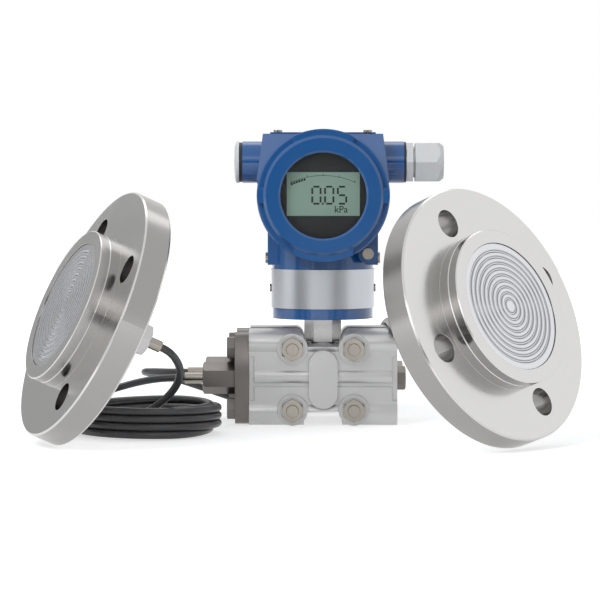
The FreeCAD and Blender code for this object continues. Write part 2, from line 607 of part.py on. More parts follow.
def capsule_and_neck():
    """The round sensor capsule between the flanges, and the hexagonal neck screwed into it."""
    half = "capsule_width / 2"
    middle = ("0", "port_height")
    recess = "2 * membrane_thickness"
    cuts = [rod("capsule_neck_bore", "z", "neck_stub + thread_play",
                ("neck_foot - stub_length - thread_play", "cell_height"))]
    membranes = []
    for word, side in CELL_SIDES.items():
        cuts.append(rod(word + "_capsule_recess", "y", "membrane_size / 2 + gasket_play",
                        across(f"{half} - {recess}", f"{half} + 1", side), middle))
        membranes.append(rod(word + "_membrane", "y", "membrane_size / 2",
                             across(f"{half} - {recess}", f"{half} - membrane_thickness", side), middle))
    body = rod("capsule_body", "y", "capsule_size / 2", (f"-{half}", half), middle)
    node("sensor_capsule", cut("sensor_capsule", body, *cuts))
    node("sensor_membranes", group("sensor_membranes", membranes))

    ring_line = "housing_foot + neck_ring_rise"
    groove = ring("neck_groove", "z", "spigot_radius + 1", "spigot_radius - neck_ring_section",
                  (f"{ring_line} - neck_ring_section / 2", f"{ring_line} + neck_ring_section / 2"))
    neck = fuse("neck_bar",
                hexagon("neck_hexagon", "z", "neck_flats", ("neck_foot", "housing_foot - running_gap")),
                rod("neck_stub", "z", "neck_stub", ("neck_foot - stub_length", "neck_foot")),
                rod("neck_spigot", "z", "spigot_radius",
                    ("housing_foot - running_gap", "housing_foot + spigot_length")))
    wires = rod("neck_wire_way", "z", "neck_stub / 2", ("neck_foot - stub_length - 1",
                                                         "housing_foot + spigot_length + 1"))
    node("neck", cut("neck", neck, groove, wires))
    o_ring = doc.addObject("Part::Torus", "neck_o_ring")
    o_ring.setExpression("Radius1", formula("spigot_radius - neck_ring_section / 2"))
    o_ring.setExpression("Radius2", formula("neck_ring_section / 2 - gasket_play / 2"))
    o_ring.setExpression("Placement.Base.z", formula(ring_line))
    node("neck_o_ring", o_ring)


# ---------------------------------------------------------------- housing
FACING = {
    "front": FreeCAD.Rotation(Vector(1, 0, 0), 90),
    "rear": FreeCAD.Rotation(Vector(0, 0, 1), 180).multiply(FreeCAD.Rotation(Vector(1, 0, 0), 90)),
    "right": FreeCAD.Rotation(Vector(0, 1, 0), 90),
    "left": FreeCAD.Rotation(Vector(0, 1, 0), -90),
}
MOUTHS = {
    "front": ("0", "-barrel_length / 2", "barrel_height"),
    "rear": ("0", "barrel_length / 2", "barrel_height"),
    "right": ("conduit_right", "conduit_back", "conduit_height"),
    "left": ("-conduit_left", "conduit_back", "conduit_height"),
}
BUTTONS = {"zero_button": "0", "span_button": "span_offset"}


def at_mouth(part, mouth):
    """Turns a piece modelled along Z outwards and sets it at one of the housing's mouths."""
    part.Placement = FreeCAD.Placement(Vector(), FACING[mouth])
    for letter, place in zip("xyz", MOUTHS[mouth]):
        part.setExpression(f"Placement.Base.{letter}", formula(place))
    return part


def crown_side(name, foot, head, foot_half, head_half, foot_depth, head_depth):
    """A tapered block between two levels of the crown."""
    wedge = doc.addObject("Part::Wedge", name)
    limits = {
        "Ymin": foot, "Ymax": head,
        "Xmin": f"-{foot_half}", "Xmax": foot_half, "X2min": f"-{head_half}", "X2max": head_half,
        "Zmin": f"-{foot_depth}", "Zmax": foot_depth, "Z2min": f"-{head_depth}", "Z2max": head_depth,
    }
    for limit, text in limits.items():
        wedge.setExpression(limit, formula(text))
    wedge.Placement = FreeCAD.Placement(Vector(), FACING["front"])
    return wedge


def housing_casting():
    """The two-chamber housing with its crown, cheeks, conduit ports and round collar."""
    half = "barrel_length / 2"
    conduit = ("conduit_back", "conduit_height")
    outside = fuse(
        "housing_outside",
        rod("collar", "z", "collar_radius", ("housing_foot", "crown_foot")),
        rod("barrel", "y", "barrel_radius", (f"-{half}", half), ("0", "barrel_height")),
        crown_side("crown", "shoulder_height", "crown_height", "shoulder_half", "crown_half",
                   "shoulder_depth", "crown_depth"),
        crown_side("flanks", "crown_foot", "shoulder_height", "crown_foot_half", "shoulder_half",
                   "shoulder_depth", "shoulder_depth"),
        block("cheeks", ("-cheek_half", "cheek_half"), ("-cheek_depth", "cheek_depth"),
              ("cheek_foot", "cheek_foot + cheek_height")),
        rod("ground_boss", "y", "ground_boss / 2", ("-ground_reach", "0"),
            ("ground_offset", "ground_height")),
        rod("conduits", "x", "conduit_radius", ("-conduit_left", "conduit_right"), conduit),
    )
    ring_seat = "thread_bore + cover_ring + running_gap"
    ring_depth = "cover_ring + running_gap"
    spigot_head = "housing_foot + spigot_length + running_gap"
    cuts = [
        rod("front_chamber", "y", "thread_bore", (f"-{half} - 1", "-wall_front"), ("0", "barrel_height")),
        rod("rear_chamber", "y", "thread_bore", ("-wall_back", f"{half} + 1"), ("0", "barrel_height")),
        rod("front_ring_seat", "y", ring_seat, (f"-{half} - 1", f"-{half} + {ring_depth}"),
            ("0", "barrel_height")),
        rod("rear_ring_seat", "y", ring_seat, (f"{half} - ({ring_depth})", f"{half} + 1"),
            ("0", "barrel_height")),
        rod("neck_bore", "z", "spigot_radius + running_gap", ("housing_foot - 1", spigot_head)),
        rod("wire_way", "z", "wire_bore / 2", (f"{spigot_head} - 8", "barrel_height - thread_bore / 2"),
            ("0", "-wire_offset")),
        rod("left_conduit", "x", "conduit_bore", ("-conduit_left - 1", "-conduit_inner"), conduit),
        rod("right_conduit", "x", "conduit_bore", ("conduit_inner", "conduit_right + 1"), conduit),
        rod("ground_hole", "y", "small_screw / 2 + thread_play",
            ("-ground_reach - 1", "-ground_reach + small_screw_length + 1"),
            ("ground_offset", "ground_height")),
    ]
    for end in (-1, 1):
        cuts.append(rod(f"rivet_hole{end}", "x", "rivet_shank / 2 + thread_play",
                        across("collar_radius - rivet_length", "collar_radius + 1", end),
                        ("0", "(band_foot + band_head) / 2")))
        cuts.append(rod(f"side_hole{end}", "x", "small_screw / 2 + thread_play",
                        across("cheek_half - small_screw_length - 1", "cheek_half + 1", end),
                        ("0", "side_height")))
        cuts.append(rod(f"plate_screw_hole{end}", "z", "plate_screw_size / 2 + thread_play",
                        ("crown_height - small_screw_length", "crown_height + 1"),
                        (signed(end, "plate_screw_offset"), "-crown_middle")))
    for name, place in BUTTONS.items():
        cuts.append(rod(name + "_hole", "z", "button_radius + running_gap",
                        ("crown_height - button_depth - button_length - button_travel - running_gap",
                         "crown_height + 1"), (place, "-crown_middle")))
    return cut("housing", outside, *cuts)


def housing_fittings():
    """The band, rivets, screws, plate and buttons on the housing."""
    inside = "collar_radius + band_play"
    outside = "collar_radius + band_play + band_thickness"
    band_middle = "(band_foot + band_head) / 2"
    band = ring("label_band_tube", "z", outside, inside, ("band_foot", "band_head"))
    holes, rivets, lock_screws, plate_screws = [], [], [], []
    for end in (-1, 1):
        holes.append(rod(f"band_hole{end}", "x", "rivet_shank / 2 + thread_play",
                         across("collar_radius - 1", "collar_radius + 3", end), ("0", band_middle)))
        rivets.append(fuse(f"rivet{end}",
                           rod(f"rivet_head{end}", "x", "rivet_size / 2",
                               across(outside, f"{outside} + rivet_rise", end), ("0", band_middle)),
                           rod(f"rivet_shank{end}", "x", "rivet_shank / 2",
                               across(f"{outside} - rivet_length", outside, end), ("0", band_middle))))
        lock_screws.append(fuse(f"lock_screw{end}",
                                rod(f"lock_head{end}", "x", "side_head / 2",
                                    across("cheek_half", "cheek_half + side_head_height", end),
                                    ("0", "side_height")),
                                rod(f"lock_shank{end}", "x", "small_screw / 2",
                                    across("cheek_half - small_screw_length", "cheek_half", end),
                                    ("0", "side_height"))))
        head_foot = "crown_height + plate_gap + plate_thickness + plate_gap"
        centre = (signed(end, "plate_screw_offset"), "-crown_middle")
        plate_screws.append(fuse(f"plate_screw{end}",
                                 rod(f"plate_screw_head{end}", "z", "plate_screw_head / 2",
                                     (head_foot, f"{head_foot} + plate_screw_rise"), centre),
                                 rod(f"plate_screw_shank{end}", "z", "plate_screw_size / 2",
                                     ("crown_height - small_screw_length + 1", head_foot), centre)))
    node("label_band", cut("label_band", band, *holes))
    node("label_rivets", group("label_rivets", rivets))
    node("neck_lock_screws", group("neck_lock_screws", lock_screws))
    node("plate_screws", group("plate_screws", plate_screws))
    ground = ("ground_offset", "ground_height")
    node("ground_screw", fuse("ground_screw",
                              rod("ground_head", "y", "ground_head / 2",
                                  ("-ground_reach - ground_head_height", "-ground_reach"), ground),
                              rod("ground_shank", "y", "small_screw / 2",
                                  ("-ground_reach", "-ground_reach + small_screw_length"), ground)))
    level = ("crown_height + plate_gap", "crown_height + plate_gap + plate_thickness")
    over = (f"{level[0]} - 1", f"{level[1]} + 1")
    plate = block("plate_blank", ("-plate_length / 2", "plate_length / 2"),
                  ("-crown_middle - plate_width / 2", "-crown_middle + plate_width / 2"), level)
    pivot = rod("plate_pivot_hole", "z", "plate_hole / 2", over, ("-plate_screw_offset", "-crown_middle"))
    slot_end = rod("plate_slot_end", "z", "plate_hole / 2", over, ("plate_screw_offset", "-crown_middle"))
    slot = block("plate_slot", ("plate_screw_offset - plate_hole / 2 - slot_ease",
                                "plate_screw_offset + plate_hole / 2"),
                 ("-crown_middle - plate_width / 2 - 1", "-crown_middle"), over)
    node("crown_plate", cut("crown_plate", plate, pivot, slot_end, slot))
    for name, place in BUTTONS.items():
        top = "crown_height - button_depth"
        node(name, rod(name, "z", "button_radius", (f"{top} - button_length", top), (place, "-crown_middle")))


def conduit_fittings():
    """The blind plug on the left and the cable gland on the right."""
    thread = "conduit_bore - thread_play"
    head = "plug_seal_thickness + plug_rim"
    plug = turned("blind_plug", [
        ("0", "-plug_tail"), (thread, "-plug_tail"), (thread, "plug_seal_thickness"),
        ("plug_radius", "plug_seal_thickness"), ("plug_radius", head),
        ("plug_radius * 0.8", f"{head} + plug_dome * 0.7"), ("0", f"{head} + plug_dome")])
    node("blind_plug", at_mouth(plug, "left"))
    seal = ring("blind_plug_seal", "z", "plug_seal_radius", "conduit_bore", ("0", "plug_seal_thickness"))
    node("blind_plug_seal", at_mouth(seal, "left"))
    washer = ring("gland_washer", "z", "washer_radius", "conduit_bore", ("0", "washer_thickness"))
    node("gland_washer", at_mouth(washer, "right"))

    flange_end = "(washer_thickness + gland_flange)"
    thread_end = f"({flange_end} + gland_thread_length)"
    cap_foot = f"({flange_end} + gland_groove)"
    cap_end = f"({cap_foot} + cap_length)"
    shoulder = f"({cap_end} - cap_wall)"
    body = fuse("gland_bar",
                hexagon("gland_hexagon", "z", "gland_flats", ("washer_thickness", flange_end), (0, 0), 30),
                rod("gland_tail", "z", thread, ("-plug_tail", "washer_thickness")),
                rod("gland_neck", "z", "gland_thread", (flange_end, thread_end)))
    way = rod("gland_way", "z", "gland_bore", ("-plug_tail - 1", f"{thread_end} + 1"))
    seat = rod("gland_seal_seat", "z", "gland_seat",
               (f"{thread_end} - gland_seat_depth", f"{thread_end} + 1"))
    node("gland_body", at_mouth(cut("gland_body", body, way, seat), "right"))
    seal = ring("gland_seal", "z", "gland_seat - gasket_play", "gland_seal_bore",
                (f"{thread_end} - gland_seat_depth", thread_end))
    node("gland_seal", at_mouth(seal, "right"))
    thrust = ring("gland_thrust_ring", "z", "gland_thread - running_gap", "gland_bore",
                  (f"{shoulder} - running_gap - thrust_thickness", f"{shoulder} - running_gap"))
    node("gland_thrust_ring", at_mouth(thrust, "right"))
    bar = hexagon("gland_cap_bar", "z", "gland_flats", (cap_foot, cap_end), (0, 0), 30)
    dome = turned("gland_cap_dome", [
        ("0", cap_foot), ("gland_flats * 0.57", cap_foot), ("gland_flats * 0.57", f"{cap_end} - cap_dome"),
        ("gland_flats / 2 - 0.3", f"{cap_end} - cap_dome * 0.4"), ("cap_end_radius", cap_end),
        ("0", cap_end)])
    cap = cut("gland_cap", common("gland_cap_outside", bar, dome),
              rod("gland_cap_bore", "z", "gland_thread + running_gap", (f"{cap_foot} - 1", shoulder)),
              rod("gland_cap_mouth", "z", "cap_mouth", (cap_foot, f"{cap_end} + 1")))
    node("gland_cap", at_mouth(cap, "right"))


# ---------------------------------------------------------------- covers
THREAD = "thread_bore - running_gap"
GLASS_BACK = "(cover_length - window_lip - gasket_lip - glass_thickness)"


def cover_outline(length):
    """The outside of a cover from its thread's end to the edge of its flat face."""
    return [
        ("cover_bore", "-cover_thread"), (THREAD, "-cover_thread"), (THREAD, "running_gap"),
        ("cover_radius - 1", "running_gap"), ("cover_radius", "running_gap + 1"),
        ("cover_radius", "cover_skirt - 1"), ("cover_radius - 1", "cover_skirt"),
        ("cover_shoulder", "cover_skirt"), ("cover_shoulder", f"{length} - face_bevel"),
        ("cover_face", length),
    ]


def lugs(name):
    """Wrench lugs round the front of a cover: two wide, two narrow."""
    band = ring(name + "_band", "z", "cover_radius - 0.4", "cover_shoulder - 1",
                ("cover_skirt - 0.5", "cover_skirt + lug_rise"))
    span = ("cover_skirt - 1", "cover_skirt + lug_rise + 1")
    cross = fuse(name + "_cross",
                 block(name + "_wide", ("-lug_half", "lug_half"), ("-cover_radius", "cover_radius"), span),
                 block(name + "_narrow", ("-cover_radius", "cover_radius"),
                       ("-small_lug_half", "small_lug_half"), span))
    return common(name, band, cross)


def cover_ring(name, mouth):
    torus = doc.addObject("Part::Torus", name)
    torus.setExpression("Radius1", formula("thread_bore + cover_ring / 2"))
    torus.setExpression("Radius2", formula("cover_ring / 2"))
    seated = doc.addObject("Part::Compound", name + "_seated")
    seated.Links = [torus]
    torus.setExpression("Placement.Base.z", formula("-cover_ring / 2"))
    return node(name, at_mouth(seated, mouth))


def covers():
    """The front cover with its window, and the plain rear cover."""
    shell = turned("front_cover_shell", cover_outline("cover_length") + [
        ("window_mouth", "cover_length"), ("window_radius", "cover_length - 1.2"),
        ("window_radius", "cover_length - window_lip"),
        ("glass_radius + glass_play", "cover_length - window_lip"),
        ("glass_radius + glass_play", GLASS_BACK), ("cover_bore", GLASS_BACK)])
    node("front_cover", at_mouth(fuse("front_cover", shell, lugs("front_lugs")), "front"))
    glass = rod("glass_disc", "z", "glass_radius", (GLASS_BACK, f"{GLASS_BACK} + glass_thickness"))
    node("window_glass", at_mouth(group("window_glass", [glass]), "front"))
    gasket = ring("window_gasket", "z", "glass_radius", "window_radius + 0.5",
                  (f"{GLASS_BACK} + glass_thickness", "cover_length - window_lip"))
    node("window_gasket", at_mouth(gasket, "front"))
    retainer = ring("window_retainer", "z", "cover_bore - glass_play", "cover_bore - retainer_width",
                    (f"{GLASS_BACK} - retainer_thickness", GLASS_BACK))
    node("window_retainer", at_mouth(retainer, "front"))
    cover_ring("front_cover_o_ring", "front")

    shell = turned("rear_cover_shell", cover_outline("rear_length") + [
        ("window_mouth", "rear_length"), ("window_radius", "rear_length - 1.2"), ("0", "rear_length - 1.2"),
        ("0", "rear_length - rear_wall"), ("cover_bore", "rear_length - rear_wall")])
    node("rear_cover", at_mouth(fuse("rear_cover", shell, lugs("rear_lugs")), "rear"))
    cover_ring("rear_cover_o_ring", "rear")


# ---------------------------------------------------------------- display and electronics
def electronics():
    """The display on its spacers in the front chamber, the terminals in the rear one."""
    back = "(display_reach - display_thickness)"
    wall = "(wall_front - barrel_length / 2)"
    board_back = "(board_offset - barrel_length / 2)"
    window = [(f"-panel_width / 2{ease}", f"panel_width / 2{lift}")
              for ease, lift in (("", ""), (" - panel_play", " + panel_play"))]
    heights = [(f"panel_lift - panel_height / 2{ease}", f"panel_lift + panel_height / 2{lift}")
               for ease, lift in (("", ""), (" - panel_play", " + panel_play"))]
    depth = ("display_reach - panel_thickness", "display_reach")
    module = cut("display_module", rod("display_disc", "z", "display_radius", (back, "display_reach")),
                 block("display_pocket", window[1], heights[1], (depth[0], "display_reach + 1")))
    node("display_module", at_mouth(module, "front"))
    panel = group("display_panel", [block("display_glass", window[0], heights[0], depth)])
    node("display_panel", at_mouth(panel, "front"))
    spacers, holes = [], []
    for number, turn in enumerate((90, 210, 330)):
        centre = (f"spacer_circle * cos({turn})", f"spacer_circle * sin({turn})")
        spacers.append(rod(f"spacer{number}", "z", "spacer_radius", (wall, back), centre))
        holes.append(rod(f"board_hole{number}", "z", "spacer_radius + board_play",
                         (f"{board_back} - 1", f"{board_back} + board_thickness + 1"), centre))
    node("display_spacers", at_mouth(group("display_spacers", spacers), "front"))
    board = rod("board_disc", "z", "board_radius", (board_back, f"{board_back} + board_thickness"))
    node("circuit_board", at_mouth(cut("circuit_board", board, *holes), "front"))

    foot = "-(wall_back + barrel_length / 2)"
    top = f"({foot} + terminal_thickness)"
    screws, holes = [], []
    for number, place in enumerate(("-terminal_pitch", "0", "terminal_pitch")):
        centre = (place, "0")
        screws.append(fuse(f"terminal_screw{number}",
                           rod(f"terminal_head{number}", "z", "terminal_head / 2",
                               (top, f"{top} + terminal_head_height"), centre),
                           rod(f"terminal_shank{number}", "z", "small_screw / 2",
                               (f"{top} - small_screw_length", top), centre)))
        holes.append(rod(f"terminal_hole{number}", "z", "small_screw / 2 + thread_play",
                         (f"{top} - small_screw_length - 1", f"{top} + 1"), centre))
    blank = rod("terminal_disc", "z", "terminal_radius", (foot, top))
    node("terminal_block", at_mouth(cut("terminal_block", blank, *holes), "rear"))
    node("terminal_screws", at_mouth(group("terminal_screws", screws), "rear"))


# ---------------------------------------------------------------- diaphragm seals
WAVES = 9


def seal_frame(side):
    """The seal's own frame: Z out of its face, Y up the face, standing on the rear of its rim."""
    azimuth, tilt = math.radians(size(side + "_azimuth")), math.radians(size(side + "_tilt"))
    normal = Vector(math.cos(tilt) * math.sin(azimuth), -math.cos(tilt) * math.cos(azimuth), math.sin(tilt))
    level = Vector(math.cos(azimuth), math.sin(azimuth), 0)
    height = size("flange_size") / 2 * math.cos(tilt) + size("flange_thickness") * math.sin(tilt)
    turn = FreeCAD.Rotation(level, normal.cross(level), normal, "ZXY")
    return FreeCAD.Placement(Vector(size(side + "_x"), size(side + "_y"), height), turn)


def diaphragm_seal(side):
    """A flanged remote seal: flange, seal body with its stem, and waved diaphragm."""
    rim, hub = "flange_size / 2", "stem_radius + stem_play"
    raised, top = "raised_height", "(raised_height + seal_height)"
    disc = turned(side + "_flange_blank", [
        (hub, "-flange_thickness"), (f"{rim} - rim_bevel", "-flange_thickness"),
        (rim, "-flange_thickness + rim_bevel"), (rim, "-rim_edge"), (f"{rim} - rim_edge", "0"),
        ("seal_size / 2", "0"), ("seal_size / 2", f"{raised} - seam_bevel"),
        ("seal_size / 2 - seam_bevel", raised), (hub, raised)])
    holes = []
    for number in range(4):
        turn = f"({side}_hole_angle + {90 * number})"
        centre = (f"flange_circle / 2 * cos({turn})", f"flange_circle / 2 * sin({turn})")
        holes.append(rod(f"{side}_flange_hole{number}", "z", "flange_hole / 2",
                         ("-flange_thickness - 1", "1"), centre))
    flange = cut(side + "_seal_flange", disc, *holes)

    floor = f"({top} - diaphragm_drop - diaphragm_seat)"
    stem_end = "(-flange_thickness - stem_reach)"
    recess = "diaphragm_size / 2 + diaphragm_drop / 2"
    body = turned(side + "_seal_body", [
        ("0", stem_end), ("stem_radius", stem_end), ("stem_radius", raised),
        ("seal_size / 2 - seam_bevel", raised), ("seal_size / 2", f"{raised} + seam_bevel"),
        ("seal_size / 2", f"{top} - face_edge"), ("seal_size / 2 - face_edge", top),
        (recess, top), (recess, floor), ("0", floor)])
    crest, trough = f"({top} - diaphragm_drop)", f"({top} - diaphragm_drop - wave_height)"
    outline = [("0", floor), ("diaphragm_size / 2", floor), ("diaphragm_size / 2", crest)]
    for wave in range(WAVES):
        outline.append((f"diaphragm_size / 2 - diaphragm_rim - {wave} * wave_pitch", crest))
        outline.append((f"diaphragm_size / 2 - diaphragm_rim - {wave + 0.5} * wave_pitch", trough))
    outline += [(f"diaphragm_size / 2 - diaphragm_rim - {WAVES} * wave_pitch", crest), ("0", crest)]
    diaphragm = turned(side + "_diaphragm", outline)

    for word, piece in {"seal_flange": flange, "seal_body": body, "diaphragm": diaphragm}.items():
        piece.Placement = seal_frame(side)
        node(f"{side}_{word}", piece)


def seal_outlets():
    """The nut and the crimped sleeve through which each capillary leaves its seal's stem."""
    stem_end = "(-flange_thickness - stem_reach)"
    nut_end = f"({stem_end} - seal_nut_length)"
    nuts, sleeves = [], []
    for side in ("left", "right"):
        bar = hexagon(side + "_nut_bar", "z", "seal_nut_flats", (nut_end, stem_end), (0, 0), 0, "low")
        sleeve = rod(side + "_sleeve_bar", "z", "sleeve_size / 2",
                     (f"{nut_end} - seal_sleeve_length", nut_end))
        for word, piece, pieces in (("nut", bar, nuts), ("sleeve", sleeve, sleeves)):
            placed = group(f"{side}_seal_{word}", [piece])
            placed.Placement = seal_frame(side)
            pieces.append(placed)
    node("seal_nuts", group("seal_nuts", nuts))
    node("seal_sleeves", group("seal_sleeves", sleeves))


# ---------------------------------------------------------------- capillaries
def smooth_tube(name, points, diameter):
    """A round tube through points: straight runs joined by arcs as large as the runs allow."""
    edges, start, radii = [], points[0], []
    for before, corner, after in zip(points, points[1:], points[2:]):
        entry, leave = corner - before, after - corner
        reach = 0.45 * min(entry.Length, leave.Length)
        half_turn = entry.getAngle(leave) / 2
        entry.normalize()
        leave.normalize()
        first, last = corner - entry * reach, corner + leave * reach
        inward = (leave - entry).normalize()
        centre = corner + inward * (reach / math.sin(half_turn))
        radius = reach / math.tan(half_turn)
        radii.append(radius)
        edges.append(Part.LineSegment(start, first).toShape())
        edges.append(Part.Arc(first, centre - inward * radius, last).toShape())
        start = last
    edges.append(Part.LineSegment(start, points[-1]).toShape())
    path = Part.Wire(edges)
    section = Part.Wire(Part.Circle(points[0], points[1] - points[0], diameter / 2).toShape())
    part = doc.addObject("Part::Feature", name)
    part.Shape = path.makePipeShell([section], True, False)
    share = part.Shape.Volume / (math.pi * diameter ** 2 / 4 * path.Length)
    print(f"{name}: {path.Length:.0f} mm, volume share {share:.3f}, radii",
          " ".join(f"{radius:.0f}" for radius in radii))
    return node(name, part)


def route(*points):
    """Points of a capillary's way over the bench, scaled with it."""
    unit = size("route_unit")
    return [Vector(*point) * unit for point in points]


def capillaries():
    """Each capillary: a lead from the cell, a coil of its spare length and a lead to its seal."""
    diameter, depth, height = size("capillary_size"), size(PORT_DEPTH), size("port_height")
    sleeve_x = size("-(cell_width / 2 + adapter_thickness + fitting_length + sleeve_length)")
    run = size("straight_run")
    tail = size("-(flange_thickness + stem_reach + seal_nut_length + seal_sleeve_length)")
    left_start, right_start = [
        [seal_frame(side).multVec(Vector(0, 0, tail - past)) for past in (0, size("seal_run"))]
        for side in ("left", "right")]
    front_start, rear_start = [
        [Vector(sleeve_x - past, end * depth, height) for past in (0, run)] for end in (-1, 1)]
    smooth_tube("front_capillary_lead", front_start + route(
        (-121, -34, 29.8), (-134, -46, 27.2), (-146, -60, 24.4), (-156, -75, 21.5),
        (-162.6, -92, 19.4)), diameter)
    smooth_tube("left_seal_lead", left_start + route(
        (-95.6, -139, 48.5), (-99.5, -129, 38.5), (-105, -122, 28.5), (-114, -118.5, 20.5),
        (-127, -118, 13.5), (-140, -112.5, 8), (-149, -102.5, 4.4), (-152.2, -94, 2.8)), diameter)
    smooth_tube("rear_capillary_lead", rear_start + route(
        (-117, 33, 31.5), (-122, 45, 30.2), (-116, 58, 27.6), (-103, 66.5, 23.5), (-86, 70, 17.5),
        (-66, 70, 10.5), (-46, 68, 5), (-28, 66.3, 2.8), (-8, 65.2, 2.8)), diameter)
    smooth_tube("right_seal_lead", right_start + route(
        (54.4, -131, 57.2), (53, -110, 56), (51.5, -88, 57), (49.5, -68, 62.3), (47.5, -50, 66.4),
        (46.5, -28, 66.8), (46.5, 2, 66.8), (46.3, 32, 67.2), (44.8, 47, 65), (40, 58.5, 55.5),
        (31.5, 65, 44), (20, 69, 35), (6, 71.5, 28.5), (-8, 74.5, 23.5), (-20.4, 78, 19.4)), diameter)
    for side in ("left", "right"):
        outer, height = "coil_radius", "coil_height"
        inner = "coil_radius - coil_width"
        coil = turned(side + "_coil", [
            (inner, "coil_round"), (f"{inner} + coil_round", "0"), (f"{outer} - coil_round", "0"),
            (outer, "coil_round"), (outer, f"{height} - coil_round"), (f"{outer} - coil_round", height),
            (f"{inner} + coil_round", height), (inner, f"{height} - coil_round")])
        coil.setExpression("Placement.Base.x", formula(side + "_coil_x"))
        coil.setExpression("Placement.Base.y", formula(side + "_coil_y"))
        node(side + "_coil", coil)


cell()
capsule_and_neck()
node("housing", housing_casting())
housing_fittings()
conduit_fittings()
covers()
electronics()
for seal_side in ("left", "right"):
    diaphragm_seal(seal_side)
seal_outlets()
doc.recompute()
capillaries()
doc.recompute()

failed = [part.Name for part in doc.Objects if {"Invalid", "Error"} & set(part.State)]
for node_name, finished in NODES.items():
    if finished.Shape.isNull() or not finished.Shape.isValid() or not finished.Shape.Solids:
        failed.append(node_name)
if failed:
    raise RuntimeError(f"these objects failed: {failed}")

os.makedirs("parts", exist_ok=True)
for node_name, finished in NODES.items():
    Part.Compound(finished.Shape.Solids).exportStep(f"parts/{node_name}.step")
print(f"{len(NODES)} sub-parts written")
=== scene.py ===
# %% [markdown]
# # A differential pressure transmitter with two remote diaphragm seals
#
# The transmitter compares the pressures at two flanges. Each flange carries a thin corrugated diaphragm,
# and an oil-filled capillary hands the pressure on to the measuring cell. The frame gives every rigid piece
# at its real size. This lesson gives each surface its finish, lays the two capillaries and draws the
# display.

import json
import math

import bpy
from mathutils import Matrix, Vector


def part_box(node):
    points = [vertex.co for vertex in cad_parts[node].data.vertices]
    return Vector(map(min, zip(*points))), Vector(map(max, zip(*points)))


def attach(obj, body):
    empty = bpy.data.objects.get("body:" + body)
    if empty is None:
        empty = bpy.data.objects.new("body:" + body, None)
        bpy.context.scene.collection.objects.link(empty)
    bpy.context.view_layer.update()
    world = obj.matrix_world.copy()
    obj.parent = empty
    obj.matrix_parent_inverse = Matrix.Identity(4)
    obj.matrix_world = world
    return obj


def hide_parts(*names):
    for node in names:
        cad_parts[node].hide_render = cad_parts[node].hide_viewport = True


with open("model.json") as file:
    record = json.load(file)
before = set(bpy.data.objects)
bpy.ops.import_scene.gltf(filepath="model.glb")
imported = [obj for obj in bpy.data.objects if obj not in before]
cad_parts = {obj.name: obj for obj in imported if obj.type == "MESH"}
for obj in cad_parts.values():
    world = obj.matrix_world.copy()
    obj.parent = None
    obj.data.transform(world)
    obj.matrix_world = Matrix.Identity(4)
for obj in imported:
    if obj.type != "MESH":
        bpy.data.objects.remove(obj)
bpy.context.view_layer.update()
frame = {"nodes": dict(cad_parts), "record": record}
nodes = frame["nodes"]
mounts = {mount["name"]: mount for mount in frame["record"]["mounts"]}
MM = 0.001

# %% [markdown]
# ## Shared effects
#
# A real surface is never quite even: a casting is pebbled, a turned face has rings, and a handled part has
# faint smudges. Each of these is one node group, so that every material that needs it uses the same
# construction with its own numbers. The groups work in Object coordinates, which here are metres in the
# frame.

# %% Building blocks for node groups


def effect(name, inputs, outputs):
    """An empty node group with its sockets: (label, kind, default) and (label, kind)."""
    group = bpy.data.node_groups.new(name, "ShaderNodeTree")
    for label, kind, default in inputs:
        socket = group.interface.new_socket(label, in_out="INPUT", socket_type=kind)
        socket.default_value = default
    for label, kind in outputs:
        group.interface.new_socket(label, in_out="OUTPUT", socket_type=kind)
    return group, group.nodes.new("NodeGroupInput"), group.nodes.new("NodeGroupOutput")


def add(tree, kind, **settings):
    """A node with its settings; what names a socket is set on the socket."""
    node = tree.nodes.new(kind)
    for key, value in settings.items():
        if hasattr(node, key):
            setattr(node, key, value)
        else:
            node.inputs[key.replace("_", " ")].default_value = value
    return node


print("building blocks ready")

# %% [markdown]
# ### Grain on soft edges
#
# Castings, mouldings and rolled sheet differ mainly in how coarse and how deep their grain is. No real edge
# is perfectly sharp either: a Bevel node rounds the shading of each edge a little, so that it catches the
# light.

# %% Grain on soft edges
FLOAT, VECTOR = "NodeSocketFloat", "NodeSocketVector"
grain, given, out = effect(
    "Grain on soft edges",
    [("Scale", FLOAT, 500.0), ("Depth", FLOAT, 0.0001), ("Edge", FLOAT, 0.0004)],
    [("Normal", VECTOR)],
)
place = add(grain, "ShaderNodeTexCoord")
noise = add(grain, "ShaderNodeTexNoise", Detail=3.0)
soft_edge = add(grain, "ShaderNodeBevel", samples=4)
bump = add(grain, "ShaderNodeBump", Strength=1.0)
for source, target in (
    (place.outputs["Object"], noise.inputs["Vector"]),
    (given.outputs["Scale"], noise.inputs["Scale"]),
    (given.outputs["Edge"], soft_edge.inputs["Radius"]),
    (noise.outputs["Fac"], bump.inputs["Height"]),
    (given.outputs["Depth"], bump.inputs["Distance"]),
    (soft_edge.outputs["Normal"], bump.inputs["Normal"]),
    (bump.outputs["Normal"], out.inputs["Normal"]),
):
    grain.links.new(source, target)
print(grain.name, "has", len(grain.nodes), "nodes")
